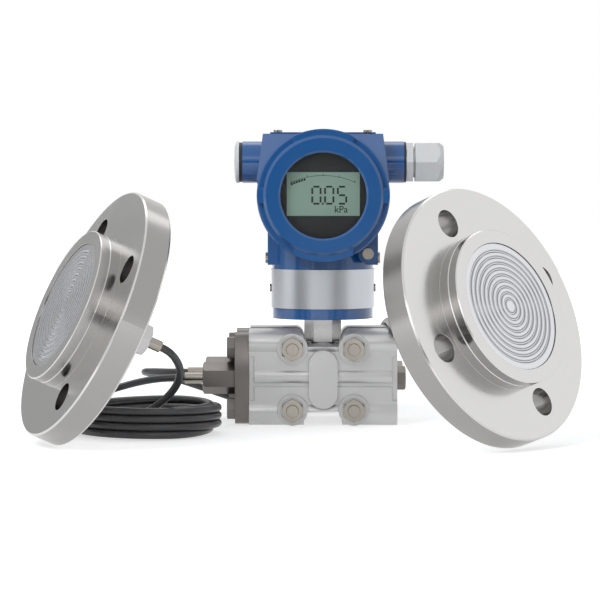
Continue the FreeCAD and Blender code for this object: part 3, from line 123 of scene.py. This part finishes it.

# %% [markdown]
# ### Turning rings
#
# The flanges of the seals are faced on a lathe, which leaves fine concentric rings. The distance from the
# flange's axis drives a one-dimensional noise, so each ring is even all the way round, as the tool leaves
# it. The group also tells faces across the axis from rims round it, so that the rims and the flanks of
# the waves can be given a painted shade.

# %% Turning rings
rings, given, out = effect(
    "Turning rings",
    [("Centre", VECTOR, (0, 0, 0)), ("Axis", VECTOR, (0, 0, 1)), ("Scale", FLOAT, 900.0),
     ("Depth", FLOAT, 0.00002), ("Edge", FLOAT, 0.0004), ("Flank", FLOAT, 0.0)],
    [("Normal", VECTOR), ("Facing", FLOAT)],
)
place = add(rings, "ShaderNodeTexCoord")
offset = add(rings, "ShaderNodeVectorMath", operation="SUBTRACT")
cross = add(rings, "ShaderNodeVectorMath", operation="CROSS_PRODUCT")
radius = add(rings, "ShaderNodeVectorMath", operation="LENGTH")
noise = add(rings, "ShaderNodeTexNoise", noise_dimensions="1D", Detail=2.0)
along = add(rings, "ShaderNodeVectorMath", operation="DOT_PRODUCT")
level = add(rings, "ShaderNodeMath", operation="ABSOLUTE")
# how far a face looks along the axis, which places the painted shade of rims and wave flanks
facing = add(rings, "ShaderNodeMapRange")
soft_edge = add(rings, "ShaderNodeBevel", samples=4)
bump = add(rings, "ShaderNodeBump", Strength=1.0)
for source, target in (
    (place.outputs["Object"], offset.inputs[0]),
    (given.outputs["Centre"], offset.inputs[1]),
    (offset.outputs["Vector"], cross.inputs[0]),
    (given.outputs["Axis"], cross.inputs[1]),
    (cross.outputs["Vector"], radius.inputs[0]),
    (radius.outputs["Value"], noise.inputs["W"]),
    (given.outputs["Scale"], noise.inputs["Scale"]),
    (noise.outputs["Fac"], bump.inputs["Height"]),
    (given.outputs["Depth"], bump.inputs["Distance"]),
    (given.outputs["Edge"], soft_edge.inputs["Radius"]),
    (soft_edge.outputs["Normal"], bump.inputs["Normal"]),
    (bump.outputs["Normal"], out.inputs["Normal"]),
    (place.outputs["Normal"], along.inputs[0]),
    (given.outputs["Axis"], along.inputs[1]),
    (along.outputs["Value"], level.inputs[0]),
    (level.outputs["Value"], facing.inputs["Value"]),
    (given.outputs["Flank"], facing.inputs["From Min"]),
    (facing.outputs["Result"], out.inputs["Facing"]),
):
    rings.links.new(source, target)
print(rings.name, "has", len(rings.nodes), "nodes")

# %% [markdown]
# ### Handling marks
#
# Steel that has been unpacked and handled shines unevenly: broad soft patches are a little duller. A large,
# soft noise between two limits gives the roughness of such a surface.

# %% Handling marks
marks, given, out = effect(
    "Handling marks",
    [("Scale", FLOAT, 25.0), ("Low", FLOAT, 0.2), ("High", FLOAT, 0.3)],
    [("Roughness", FLOAT)],
)
place = add(marks, "ShaderNodeTexCoord")
noise = add(marks, "ShaderNodeTexNoise", Detail=4.0)
spread = add(marks, "ShaderNodeMapRange", From_Min=0.35, From_Max=0.65)
for source, target in (
    (place.outputs["Object"], noise.inputs["Vector"]),
    (given.outputs["Scale"], noise.inputs["Scale"]),
    (noise.outputs["Fac"], spread.inputs["Value"]),
    (given.outputs["Low"], spread.inputs["To Min"]),
    (given.outputs["High"], spread.inputs["To Max"]),
    (spread.outputs["Result"], out.inputs["Roughness"]),
):
    marks.links.new(source, target)
print(marks.name, "has", len(marks.nodes), "nodes")

# %% [markdown]
# ## Materials
#
# Every finish is one row: its colour, how metallic and how rough it is, and the scale, depth and edge of
# its grain. Cast steel is coarse and dull, the bolts are bright, the housing wears a smooth glossy enamel
# with a faint orange peel, and the plastics and rubbers are fine and matt. Forged steel is a darker
# steel.

# %% Plain finishes
FINISHES = {
    # name: colour, metallic, roughness low and high, grain per metre, grain depth mm, edge mm
    "blue_paint": ((0.009, 0.098, 0.31), 0.0, 0.12, 0.18, 700, 0.012, 0.7),
    "cast_steel": ((0.57, 0.57, 0.57), 0.85, 0.36, 0.48, 1600, 0.03, 0.6),
    "neck_steel": ((0.54, 0.53, 0.53), 1.0, 0.26, 0.36, 2200, 0.008, 0.35),
    "forged_steel": ((0.19, 0.175, 0.165), 1.0, 0.3, 0.42, 1800, 0.012, 0.5),
    "bolt_steel": ((0.34, 0.315, 0.28), 1.0, 0.14, 0.24, 2500, 0.006, 0.35),
    "band_steel": ((0.49, 0.51, 0.54), 1.0, 0.3, 0.36, 3000, 0.005, 0.2),
    "bezel": ((0.012, 0.012, 0.013), 0.0, 0.42, 0.5, 4000, 0.01, 0.2),
    "lcd": ((0.5, 0.68, 0.57), 0.0, 0.3, 0.34, 3000, 0.002, 0.1),
    "rubber": ((0.015, 0.015, 0.016), 0.0, 0.5, 0.62, 2500, 0.01, 0.2),
    "white_plastic": ((0.74, 0.75, 0.75), 0.0, 0.35, 0.42, 2500, 0.006, 0.6),
    "black_plastic": ((0.014, 0.014, 0.015), 0.0, 0.4, 0.5, 2500, 0.01, 0.3),
    "board": ((0.01, 0.14, 0.05), 0.0, 0.3, 0.4, 2500, 0.004, 0.1),
    "sheath": ((0.06, 0.06, 0.063), 0.0, 0.26, 0.36, 2500, 0.012, 0.1),
    "brass": ((0.62, 0.45, 0.2), 1.0, 0.25, 0.32, 2500, 0.005, 0.2),
    "segments": ((0.012, 0.016, 0.014), 0.0, 0.4, 0.45, 3000, 0.002, 0.05),
}


def metal_or_plastic(name, colour, metallic):
    """A material with its principled shader, ready for its normal and roughness."""
    material = bpy.data.materials.new(name)
    material.use_nodes = True
    shader = material.node_tree.nodes["Principled BSDF"]
    shader.inputs["Base Color"].default_value = (*colour, 1)
    shader.inputs["Metallic"].default_value = metallic
    return material, material.node_tree, shader


def use(tree, group, target, output, **values):
    """Links one output of a shared effect to a shader's socket."""
    node = add(tree, "ShaderNodeGroup", node_tree=group)
    for key, value in values.items():
        node.inputs[key].default_value = value
    tree.links.new(node.outputs[output], target)
    return node


materials = {}
for name, (colour, metallic, low, high, scale, depth, edge) in FINISHES.items():
    material, tree, shader = metal_or_plastic(name, colour, metallic)
    use(tree, grain, shader.inputs["Normal"], "Normal", Scale=scale, Depth=depth * MM, Edge=edge * MM)
    use(tree, marks, shader.inputs["Roughness"], "Roughness", Low=low, High=high)
    materials[name] = material
enamel = materials["blue_paint"].node_tree.nodes["Principled BSDF"]
enamel.inputs["Coat Weight"].default_value = 0.35
print(len(materials), "plain finishes")

# %% [markdown]
# ### Turned steel of the seals
#
# The flanges, the seal bodies and the diaphragms are turned about their own axes, so each side has its own
# pair of materials: bright turned steel, and the bluish foil of the diaphragm. A face across the axis has
# the bright colour. A rim or the flank of a wave gets a darker colour, painted on as shade, and "flank" is
# the cosine of the slope at which this painted shade is full.

# %% Turned finishes
SIDES = ("left", "right")
TURNED = {
    # name: face colour, painted shade colour of rims and wave flanks, flank, roughness low and high, rings
    # per metre, ring depth mm
    "seal_steel": ((0.7, 0.695, 0.685), (0.34, 0.33, 0.32), 0.0, 0.16, 0.24, 2600, 0.006),
    "foil": ((0.74, 0.75, 0.78), (0.14, 0.14, 0.15), 0.72, 0.2, 0.26, 1500, 0.001),
}
TURNED_EDGE = 0.5 * MM
for side in SIDES:
    seal = mounts[side + "_seal_face"]
    lathe = {"Centre": seal["pos_m"], "Axis": seal["axis"], "Edge": TURNED_EDGE}
    for name, (colour, shaded_flank_colour, flank, low, high, scale, depth) in TURNED.items():
        material, tree, shader = metal_or_plastic(f"{side}_{name}", colour, 1.0)
        turned = use(tree, rings, shader.inputs["Normal"], "Normal",
                     Scale=scale, Depth=depth * MM, Flank=flank, **lathe)
        # rims and the flanks of the waves take the darker colour as painted shade
        painted_flank_shade = add(tree, "ShaderNodeMixRGB", Color1=(*shaded_flank_colour, 1), Color2=(*colour, 1))
        tree.links.new(turned.outputs["Facing"], painted_flank_shade.inputs["Fac"])
        tree.links.new(painted_flank_shade.outputs["Color"], shader.inputs["Base Color"])
        use(tree, marks, shader.inputs["Roughness"], "Roughness", Low=low, High=high)
        materials[f"{side}_{name}"] = material
print("turned finishes for", SIDES)

# %% [markdown]
# ### The window
#
# The cover's glass is flat and polished. Almost all light passes, and a little is reflected, more at a
# slant. A Fresnel mix of a transparent and a glossy shader shows that, and lets light reach the display
# behind it.

# %% Glass
glass = bpy.data.materials.new("glass")
glass.use_nodes = True
tree = glass.node_tree
clear = add(tree, "ShaderNodeBsdfTransparent", Color=(0.96, 0.98, 0.98, 1))
shine = add(tree, "ShaderNodeBsdfGlossy", Roughness=0.03)
fresnel = add(tree, "ShaderNodeFresnel", IOR=1.45)
mix = add(tree, "ShaderNodeMixShader")
tree.links.new(fresnel.outputs["Fac"], mix.inputs["Fac"])
tree.links.new(clear.outputs["BSDF"], mix.inputs[1])
tree.links.new(shine.outputs["BSDF"], mix.inputs[2])
tree.links.new(mix.outputs["Shader"], tree.nodes["Material Output"].inputs["Surface"])
tree.nodes.remove(tree.nodes["Principled BSDF"])
materials["glass"] = glass
print("glass ready")

# %% [markdown]
# ### Each part takes its finish
#
# The record names a material slot for every part. A seal's parts take the finish of their own side. The
# adapters and fittings at the ports take the forged steel, which is darker than the casting and the
# turned neck.

# %% Finishes on the parts


FORGED = (
    "front_oval_adapter", "rear_oval_adapter", "adapter_bolts", "capillary_fittings", "vent_plugs",
)


def finish_of(node_name, slot_name):
    """The forged finish, or else that of the part's own seal, of its slot, or of the left seal's foil."""
    if node_name in FORGED:
        return materials["forged_steel"]
    side = node_name.split("_")[0]
    own = materials.get(f"{side}_{slot_name}") or materials.get(slot_name)
    return own or materials["left_" + slot_name]


for part in frame["record"]["subparts"]:
    piece = nodes[part["node"]]
    piece.data.materials.clear()
    piece.data.materials.append(finish_of(part["node"], part["material_slot"]))

# %% [markdown]
# ## Working on meshes
#
# Every new piece starts as a primitive at its size and place. When it is done, its place goes into its
# mesh, so the object itself sits at the origin like the parts of the frame.

# %% Helpers for new pieces


def begin():
    """Deselects everything, because an operator acts on all that is selected."""
    bpy.ops.object.select_all(action="DESELECT")


def settle(piece, name, slot_name, body, finish=None):
    """Names a finished piece, puts its place into its mesh and hands it to its body."""
    bpy.ops.object.transform_apply(location=True, rotation=True, scale=True)
    piece.name = name
    piece.data.materials.clear()
    piece.data.materials.append(finish or materials[slot_name])
    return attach(piece, body)


print("helpers ready")

# %% [markdown]
# ## The diaphragms
#
# The diaphragm is the heart of each seal: stainless foil, pressed into concentric waves so that it can flex
# without stretching. A press forms all the waves at once; here each inset of the disc's face steps one part
# of a wave inwards and up or down, which keeps the rings perfectly round and the foil in one piece.

# %% Corrugated diaphragms
WAVES = 9
STEPS = 12
WAVE_HEIGHT = 0.9 * MM
GROOVE_POWER = 2.2
WAVE_PITCH = 3.9 * MM
RIM_RADIUS = 41 * MM
RIM_WIDTH = 3 * MM
RIM_DROP = 0.6 * MM
DISC_THICKNESS = 1.6 * MM
DISC_SIDES = 128
WAVE_SMOOTHING = math.radians(50)


def select_front(piece, normal):
    """Selects the faces of a piece that look along a direction, and stays in edit mode."""
    bpy.ops.object.mode_set(mode="EDIT")
    bpy.ops.mesh.select_mode(type="FACE")
    bpy.ops.mesh.select_all(action="DESELECT")
    bpy.ops.object.mode_set(mode="OBJECT")
    for face in piece.data.polygons:
        face.select = face.normal.dot(normal) > 0.9
    bpy.ops.object.mode_set(mode="EDIT")


for side in SIDES:
    seal = mounts[side + "_seal_face"]
    normal = Vector(seal["axis"])
    crest = Vector(seal["pos_m"]) - normal * RIM_DROP
    begin()
    bpy.ops.mesh.primitive_cylinder_add(
        vertices=DISC_SIDES,
        radius=RIM_RADIUS,
        depth=DISC_THICKNESS,
        location=crest - normal * DISC_THICKNESS / 2,
        rotation=normal.to_track_quat("Z", "Y").to_euler(),
    )
    disc = bpy.context.object
    select_front(disc, Vector((0, 0, 1)))
    bpy.ops.mesh.inset(thickness=RIM_WIDTH, depth=0)
    level = 0.0
    for step in range(1, WAVES * STEPS + 1):
        share = (1 - math.cos(math.tau * step / STEPS)) / 2
        wanted = -WAVE_HEIGHT * share**GROOVE_POWER
        bpy.ops.mesh.inset(thickness=WAVE_PITCH / STEPS, depth=wanted - level)
        level = wanted
    bpy.ops.object.mode_set(mode="OBJECT")
    bpy.ops.object.shade_smooth_by_angle(angle=WAVE_SMOOTHING)
    settle(disc, side + "_diaphragm_waves", "foil", "transmitter", materials[side + "_foil"])
    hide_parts(side + "_diaphragm")
    print(disc.name, len(disc.data.polygons), "faces")

# %% [markdown]
# ## The display
#
# A liquid crystal display shows dark segments on a grey-green ground: three figures, the unit of pressure
# and a bar graph along an arc. Each segment is a thin bar on the panel. The figures read plain numbers
# only.

# %% Figures and bar graph
panel_low, panel_high = (Vector(corner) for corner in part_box("display_panel"))
panel_face = panel_low.y
panel_x = (panel_low.x + panel_high.x) / 2
panel_z = (panel_low.z + panel_high.z) / 2
INK = 0.08 * MM
FIRST_FIGURE = -4.6 * MM
FIGURES_DOWN = 0.8 * MM
FIGURE_WIDTH = 5.6 * MM
FIGURE_HEIGHT = 11.4 * MM
STROKE = 1.25 * MM
STROKES_SHORTER = 1.25  # taken off a segment's length, so that its neighbours stay apart
FIGURE_PITCH = 8.6 * MM
SEGMENT_NAMES = {"0": "abcdef", "5": "afgcd"}
half = FIGURE_HEIGHT / 2
SEGMENTS = {  # place across, place up, upright or not
    "a": (0, half, False), "g": (0, 0, False), "d": (0, -half, False),
    "f": (-FIGURE_WIDTH / 2, half / 2, True), "b": (FIGURE_WIDTH / 2, half / 2, True),
    "e": (-FIGURE_WIDTH / 2, -half / 2, True), "c": (FIGURE_WIDTH / 2, -half / 2, True),
}
ink = []


def bar(across, up, width, height, lean=0.0):
    """One dark bar on the panel's face."""
    begin()
    bpy.ops.mesh.primitive_cube_add(
        size=1,
        location=(panel_x + across, panel_face - INK / 2, panel_z + up),
        rotation=(0, lean, 0),
        scale=(width, INK, height),
    )
    ink.append(bpy.context.object)


for place_in_row, figure in enumerate("005"):
    middle = FIRST_FIGURE + FIGURE_PITCH * place_in_row
    for segment in SEGMENT_NAMES[figure]:
        across, up, upright = SEGMENTS[segment]
        length = (half if upright else FIGURE_WIDTH) - STROKE * STROKES_SHORTER
        size = (STROKE, length) if upright else (length, STROKE)
        bar(middle + across, up - FIGURES_DOWN, *size)
bar(FIRST_FIGURE + FIGURE_PITCH / 2, -FIGURES_DOWN - half, STROKE, STROKE)

ARC_RADIUS = 52 * MM
ARC_RISE = 12.4 * MM
ARC_STEPS = 24
ARC_HALF = math.radians(24)
LINE = 0.3 * MM
TICK_EVERY, TICK_UP, TICK_WIDTH, TICK_HEIGHT = 6, 0.7 * MM, 0.35 * MM, 1.2 * MM
BLOCKS, BLOCK_DOWN, BLOCK_WIDTH, BLOCK_HEIGHT = 6, 1.2 * MM, 1.4 * MM, 1.5 * MM
for step in range(ARC_STEPS + 1):
    lean = ARC_HALF * (2 * step / ARC_STEPS - 1)
    across = ARC_RADIUS * math.sin(lean)
    up = ARC_RISE - ARC_RADIUS * (1 - math.cos(lean))
    bar(across, up, 2 * ARC_RADIUS * ARC_HALF / ARC_STEPS, LINE, lean)
    if step % TICK_EVERY == 0:
        bar(across, up + TICK_UP, TICK_WIDTH, TICK_HEIGHT, lean)
    if step < BLOCKS:
        bar(across, up - BLOCK_DOWN, BLOCK_WIDTH, BLOCK_HEIGHT, lean)
begin()
for piece in ink:
    piece.select_set(True)
bpy.context.view_layer.objects.active = ink[0]
bpy.ops.object.join()
figures = settle(bpy.context.object, "display_figures", "lcd", "housing", materials["segments"])
print("display figures:", len(figures.data.polygons), "faces")

# %% [markdown]
# The unit stands under the last figure. A text object gives its letters, and becomes a mesh like the rest.

# %% Unit
UNIT_ACROSS, UNIT_DOWN, UNIT_SIZE, UNIT_BOLD = 7.4 * MM, 12.4 * MM, 6.4 * MM, 0.05 * MM
begin()
bpy.ops.object.text_add(
    location=(panel_x + UNIT_ACROSS, panel_face - INK / 2, panel_z - UNIT_DOWN),
    rotation=(math.radians(90), 0, 0),
)
unit = bpy.context.object
unit.data.body = "kPa"
unit.data.size = UNIT_SIZE
unit.data.extrude = INK / 2
unit.data.offset = UNIT_BOLD
bpy.ops.object.convert(target="MESH")
settle(bpy.context.object, "display_unit", "lcd", "housing", materials["segments"])
print("unit ready")

# %% [markdown]
# ## The capillaries
#
# Each capillary is a steel tube in a black sheath, 5 mm across. Most of its length is wound into a neat
# coil in three columns, one inside the other: down, up and down again, or the other way round. The coil
# stands on the bench, and the ends rise from it to the cell and to the seal. A capillary is stiff, so its
# bends are wide.

# %% Routes of the capillaries
DIAMETER = 5 * MM
COLUMN_PITCH = 5.3 * MM
COLUMNS = 3
POINTS_PER_TURN = 24
LOW = 2.6 * MM
COIL_PLAY = 0.1 * MM
CHANGES_PER_TURN = 8  # a change of column takes an eighth of a turn


def coil(node, start, turns, rises):
    """Points of a coil inside its ring, from its start angle in degrees, in three nested columns."""
    low, high = (Vector(corner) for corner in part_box(node))
    centre = (low + high) / 2
    outer = (high.x - low.x) / 2 - DIAMETER / 2 - COIL_PLAY
    top = high.z - LOW
    shrink = (1 + math.cos(math.pi / POINTS_PER_TURN)) / 2
    points = []
    for step in range(round(turns * POINTS_PER_TURN) + 1):
        turned = step / POINTS_PER_TURN
        column = min(int(turned * COLUMNS / turns), COLUMNS - 1)
        along = turned * COLUMNS / turns - column
        climbing = (column % 2 == 0) == rises
        height = LOW + (top - LOW) * (along if climbing else 1 - along)
        turns_in = along * turns / COLUMNS
        moved = min(turns_in * CHANGES_PER_TURN, 1) if column else 1
        radius = (outer - COLUMN_PITCH * (column - 1 + moved)) / shrink
        angle = math.radians(start) + math.tau * turned
        spot = (centre.x + radius * math.cos(angle), centre.y + radius * math.sin(angle), height)
        points.append(spot)
    return points


def mm(*points):
    """Points given in millimetres, in metres."""
    return [tuple(c * MM for c in point) for point in points]


def seal_exit(side, behind):
    """A point on a seal's axis, behind its flange."""
    seal = mounts[side + "_seal_bolts"]
    return tuple(Vector(seal["pos_m"]) - Vector(seal["axis"]) * behind)


SEAL_SLEEVE_END = 56 * MM
PAST_SLEEVE = 62 * MM
CELL_SLEEVE_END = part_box("crimp_sleeves")[0][0]
PORT_DEPTH = 27 * MM
PORT_HEIGHT = 31.2 * MM
left_route = (
    [(CELL_SLEEVE_END, -PORT_DEPTH, PORT_HEIGHT)]
    + mm((-107, -27, 31.2), (-121, -34, 29.8), (-134, -46, 27.2), (-146, -60, 24.4), (-156, -75, 21.5))
    + coil("left_coil", 177, 10.02, False)
    + mm((-148.4, -102.9, 2.7), (-140, -111.7, 4.2), (-128, -117, 9), (-115, -119.5, 15.5),
         (-103, -122, 23.5), (-94.5, -127, 33.5), (-91.5, -135.5, 43.5), (-94, -144.5, 51.5))
    + [seal_exit("left", PAST_SLEEVE), seal_exit("left", SEAL_SLEEVE_END)]
)
right_route = (
    [(CELL_SLEEVE_END, PORT_DEPTH, PORT_HEIGHT)]
    + mm((-105, 27, 31.2), (-116.5, 29.5, 31.4), (-125, 39, 30.7), (-125.5, 51.5, 29.3), (-118, 62, 26.9),
         (-104, 67, 23.6), (-86, 69, 17.5), (-66, 68.5, 10.5), (-46, 66.6, 4.6), (-28, 64.9, 2.6),
         (-18, 64.9, 2.6))
    + coil("right_coil", 272, 9.94, True)
    + mm((-8, 73.6, 23.4), (6, 71, 28.5), (20, 69, 35), (31.5, 65, 44), (40, 58.5, 55.5), (44.8, 47, 65),
         (46.3, 32, 67.2), (46.5, 2, 66.8), (46.5, -28, 66.8), (47.5, -50, 66.4), (49.5, -68, 62.3),
         (51.5, -88, 57), (53, -110, 56), (54.4, -131, 57.2))
    + [seal_exit("right", PAST_SLEEVE), seal_exit("right", SEAL_SLEEVE_END)]
)
print(len(left_route), "and", len(right_route), "points")

# %% [markdown]
# A curve with a round bevel is the sheath itself. The frame's plain leads and rings stay as what collides,
# and the curve is shown in their place. Its length is the real length of the capillary.

# %% Capillaries
CAPILLARIES = {
    "left": (left_route, ("front_capillary_lead", "left_coil", "left_seal_lead")),
    "right": (right_route, ("rear_capillary_lead", "right_coil", "right_seal_lead")),
}
for side, (route, stands_for) in CAPILLARIES.items():
    curve = bpy.data.curves.new(side + "_capillary", "CURVE")
    curve.dimensions = "3D"
    curve.bevel_depth = DIAMETER / 2
    curve.bevel_resolution = 4
    curve.resolution_u = 4
    line = curve.splines.new("NURBS")
    line.points.add(len(route) - 1)
    for point, spot in zip(line.points, route):
        point.co = (*spot, 1)
    line.order_u = 3
    line.use_endpoint_u = True
    capillary = bpy.data.objects.new(side + "_capillary", curve)
    bpy.context.scene.collection.objects.link(capillary)
    curve.materials.append(materials["sheath"])
    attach(capillary, "transmitter")
    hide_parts(*stands_for)
    length = line.calc_length()
    print(side, "capillary", round(length, 3), "m")

# %% [markdown]
# ## Studio
#
# The transmitter stands on a pale floor under soft lights. The floor takes the shadows and runs out into
# white. A Light Path node tells a ray that sees or mirrors the floor from one that only gathers light, so
# the white can be shown without pouring more light on the object.

# %% Floor


def shown(tree):
    """1 for rays that see, mirror or look through to the background, and 0 for those that gather light."""
    path = add(tree, "ShaderNodeLightPath")
    direct_or_mirrored = add(tree, "ShaderNodeMath", operation="MAXIMUM")
    any_of_them = add(tree, "ShaderNodeMath", operation="MAXIMUM")
    tree.links.new(path.outputs["Is Camera Ray"], direct_or_mirrored.inputs[0])
    tree.links.new(path.outputs["Is Glossy Ray"], direct_or_mirrored.inputs[1])
    tree.links.new(direct_or_mirrored.outputs["Value"], any_of_them.inputs[0])
    tree.links.new(path.outputs["Is Transmission Ray"], any_of_them.inputs[1])
    return any_of_them.outputs["Value"]


FLOOR_SIZE = 6
FLOOR_GAP = 0.0005
WHITE_FROM, WHITE_AT = 0.25, 1.0
begin()
bpy.ops.mesh.primitive_plane_add(size=FLOOR_SIZE, location=(0, 0, -FLOOR_GAP))
floor = bpy.context.object
floor.name = "studio_floor"
paper = bpy.data.materials.new("studio_paper")
paper.use_nodes = True
tree = paper.node_tree
sheet = tree.nodes["Principled BSDF"]
sheet.inputs["Base Color"].default_value = (0.7, 0.7, 0.7, 1)
sheet.inputs["Roughness"].default_value = 0.9
sheet.inputs["Emission Color"].default_value = (1, 1, 1, 1)
place = add(tree, "ShaderNodeTexCoord")
away = add(tree, "ShaderNodeVectorMath", operation="LENGTH")
fade = add(tree, "ShaderNodeMapRange", From_Min=WHITE_FROM, From_Max=WHITE_AT, To_Min=0.6, To_Max=1.0)
seen = shown(tree)
lift = add(tree, "ShaderNodeMath", operation="MULTIPLY")
for source, target in (
    (place.outputs["Object"], away.inputs[0]),
    (away.outputs["Value"], fade.inputs["Value"]),
    (fade.outputs["Result"], lift.inputs[0]),
    (seen, lift.inputs[1]),
    (lift.outputs["Value"], sheet.inputs["Emission Strength"]),
):
    tree.links.new(source, target)
floor.data.materials.append(paper)
print("floor of", FLOOR_SIZE, "m")

# %% [markdown]
# Large lights give soft shadows, and small ones give crisp highlights. Each is a rectangle that the camera
# never sees, turned towards the part that it serves. The strongest is kept out of the reflections, where it
# would burn out the turned steel.

# %% Lights
LIGHTS = (  # name, place, size, power, aims at, mirrored or not
    ("key", (-0.8, -1.2, 1.0), (0.6, 0.6), 10, (0, -0.05, 0.1), False),
    ("front", (0, -2.1, 0.95), (2.0, 0.9), 5, (0, 0, 0.1), True),
    ("top", (0, 0.8, 1.4), (1.5, 0.7), 4, (0, 0, 0), True),
    ("front_left", (-0.7, -1.4, 0.8), (0.7, 0.35), 1.8, (0, -0.05, 0.1), True),
    ("strip_front", (0.3, -1.75, 0.55), (0.12, 1.0), 0.3, (0, 0, 0.12), True),
)
for name, spot, (width, height), power, aim, mirrored in LIGHTS:
    begin()
    bpy.ops.object.light_add(type="AREA", location=spot)
    light = bpy.context.object
    light.name = "studio_" + name
    light.data.shape = "RECTANGLE"
    light.data.size, light.data.size_y = width, height
    light.data.energy = power
    light.visible_camera = False
    light.visible_glossy = mirrored
    light.rotation_euler = (Vector(spot) - Vector(aim)).to_track_quat("Z", "Y").to_euler()
print(len(LIGHTS), "lights")

# %% [markdown]
# Polished metal and enamel are only as lively as what they mirror. Two cards, which nothing but a
# reflection shows, do what a studio's flags do: a grey one behind the left side gives the turned steel its
# darker flank, and a dark one behind the camera keeps the enamel deep.

# %% Cards
CARDS = (  # name, place, turn about the upright, width, height, brightness
    ("left_card", (-1.3, 0.8, 0.4), 60, 1.4, 1.4, 0.36),
    ("front_card", (0, -2.6, 0.5), 180, 2.0, 1.0, 0.12),
)
for name, spot, turn, width, height, brightness in CARDS:
    begin()
    bpy.ops.mesh.primitive_plane_add(
        size=1, location=spot, rotation=(math.radians(90), 0, math.radians(turn))
    )
    card = bpy.context.object
    card.name = "studio_" + name
    card.scale = (width, height, 1)
    paint = bpy.data.materials.new("studio_" + name)
    paint.use_nodes = True
    surface = paint.node_tree.nodes["Principled BSDF"]
    surface.inputs["Base Color"].default_value = (0, 0, 0, 1)
    surface.inputs["Emission Color"].default_value = (1, 1, 1, 1)
    surface.inputs["Emission Strength"].default_value = brightness
    card.data.materials.append(paint)
    card.visible_camera = card.visible_diffuse = False
    card.visible_shadow = card.visible_transmission = False
print(len(CARDS), "cards")

# %% [markdown]
# The surroundings give a soft grey light. Where they are seen, mirrored or looked through to, they are
# white.

# %% Surroundings
world = bpy.data.worlds.new("studio")
bpy.context.scene.world = world
world.use_nodes = True
tree = world.node_tree
soft = tree.nodes["Background"]
soft.inputs["Color"].default_value = (0.75, 0.77, 0.8, 1)
soft.inputs["Strength"].default_value = 0.5
white = add(tree, "ShaderNodeBackground", Color=(1, 1, 1, 1), Strength=1.0)
mix = add(tree, "ShaderNodeMixShader")
tree.links.new(shown(tree), mix.inputs["Fac"])
tree.links.new(soft.outputs["Background"], mix.inputs[1])
tree.links.new(white.outputs["Background"], mix.inputs[2])
tree.links.new(mix.outputs["Shader"], tree.nodes["World Output"].inputs["Surface"])
bpy.context.scene.view_settings.view_transform = "Standard"
print("surroundings ready")

# %% [markdown]
# ## Camera
#
# A long lens from almost two metres away, a little above the seals, looks down by a few degrees.

# %% Camera
bpy.ops.object.camera_add(location=(-0.0156, -1.8504, 0.1669), rotation=(math.radians(87.4), 0, 0))
camera = bpy.context.object
camera.name = "studio_camera"
camera.data.lens = 161.5
camera.data.sensor_width = 36
bpy.context.scene.camera = camera
print("camera at", tuple(round(c, 3) for c in camera.location))
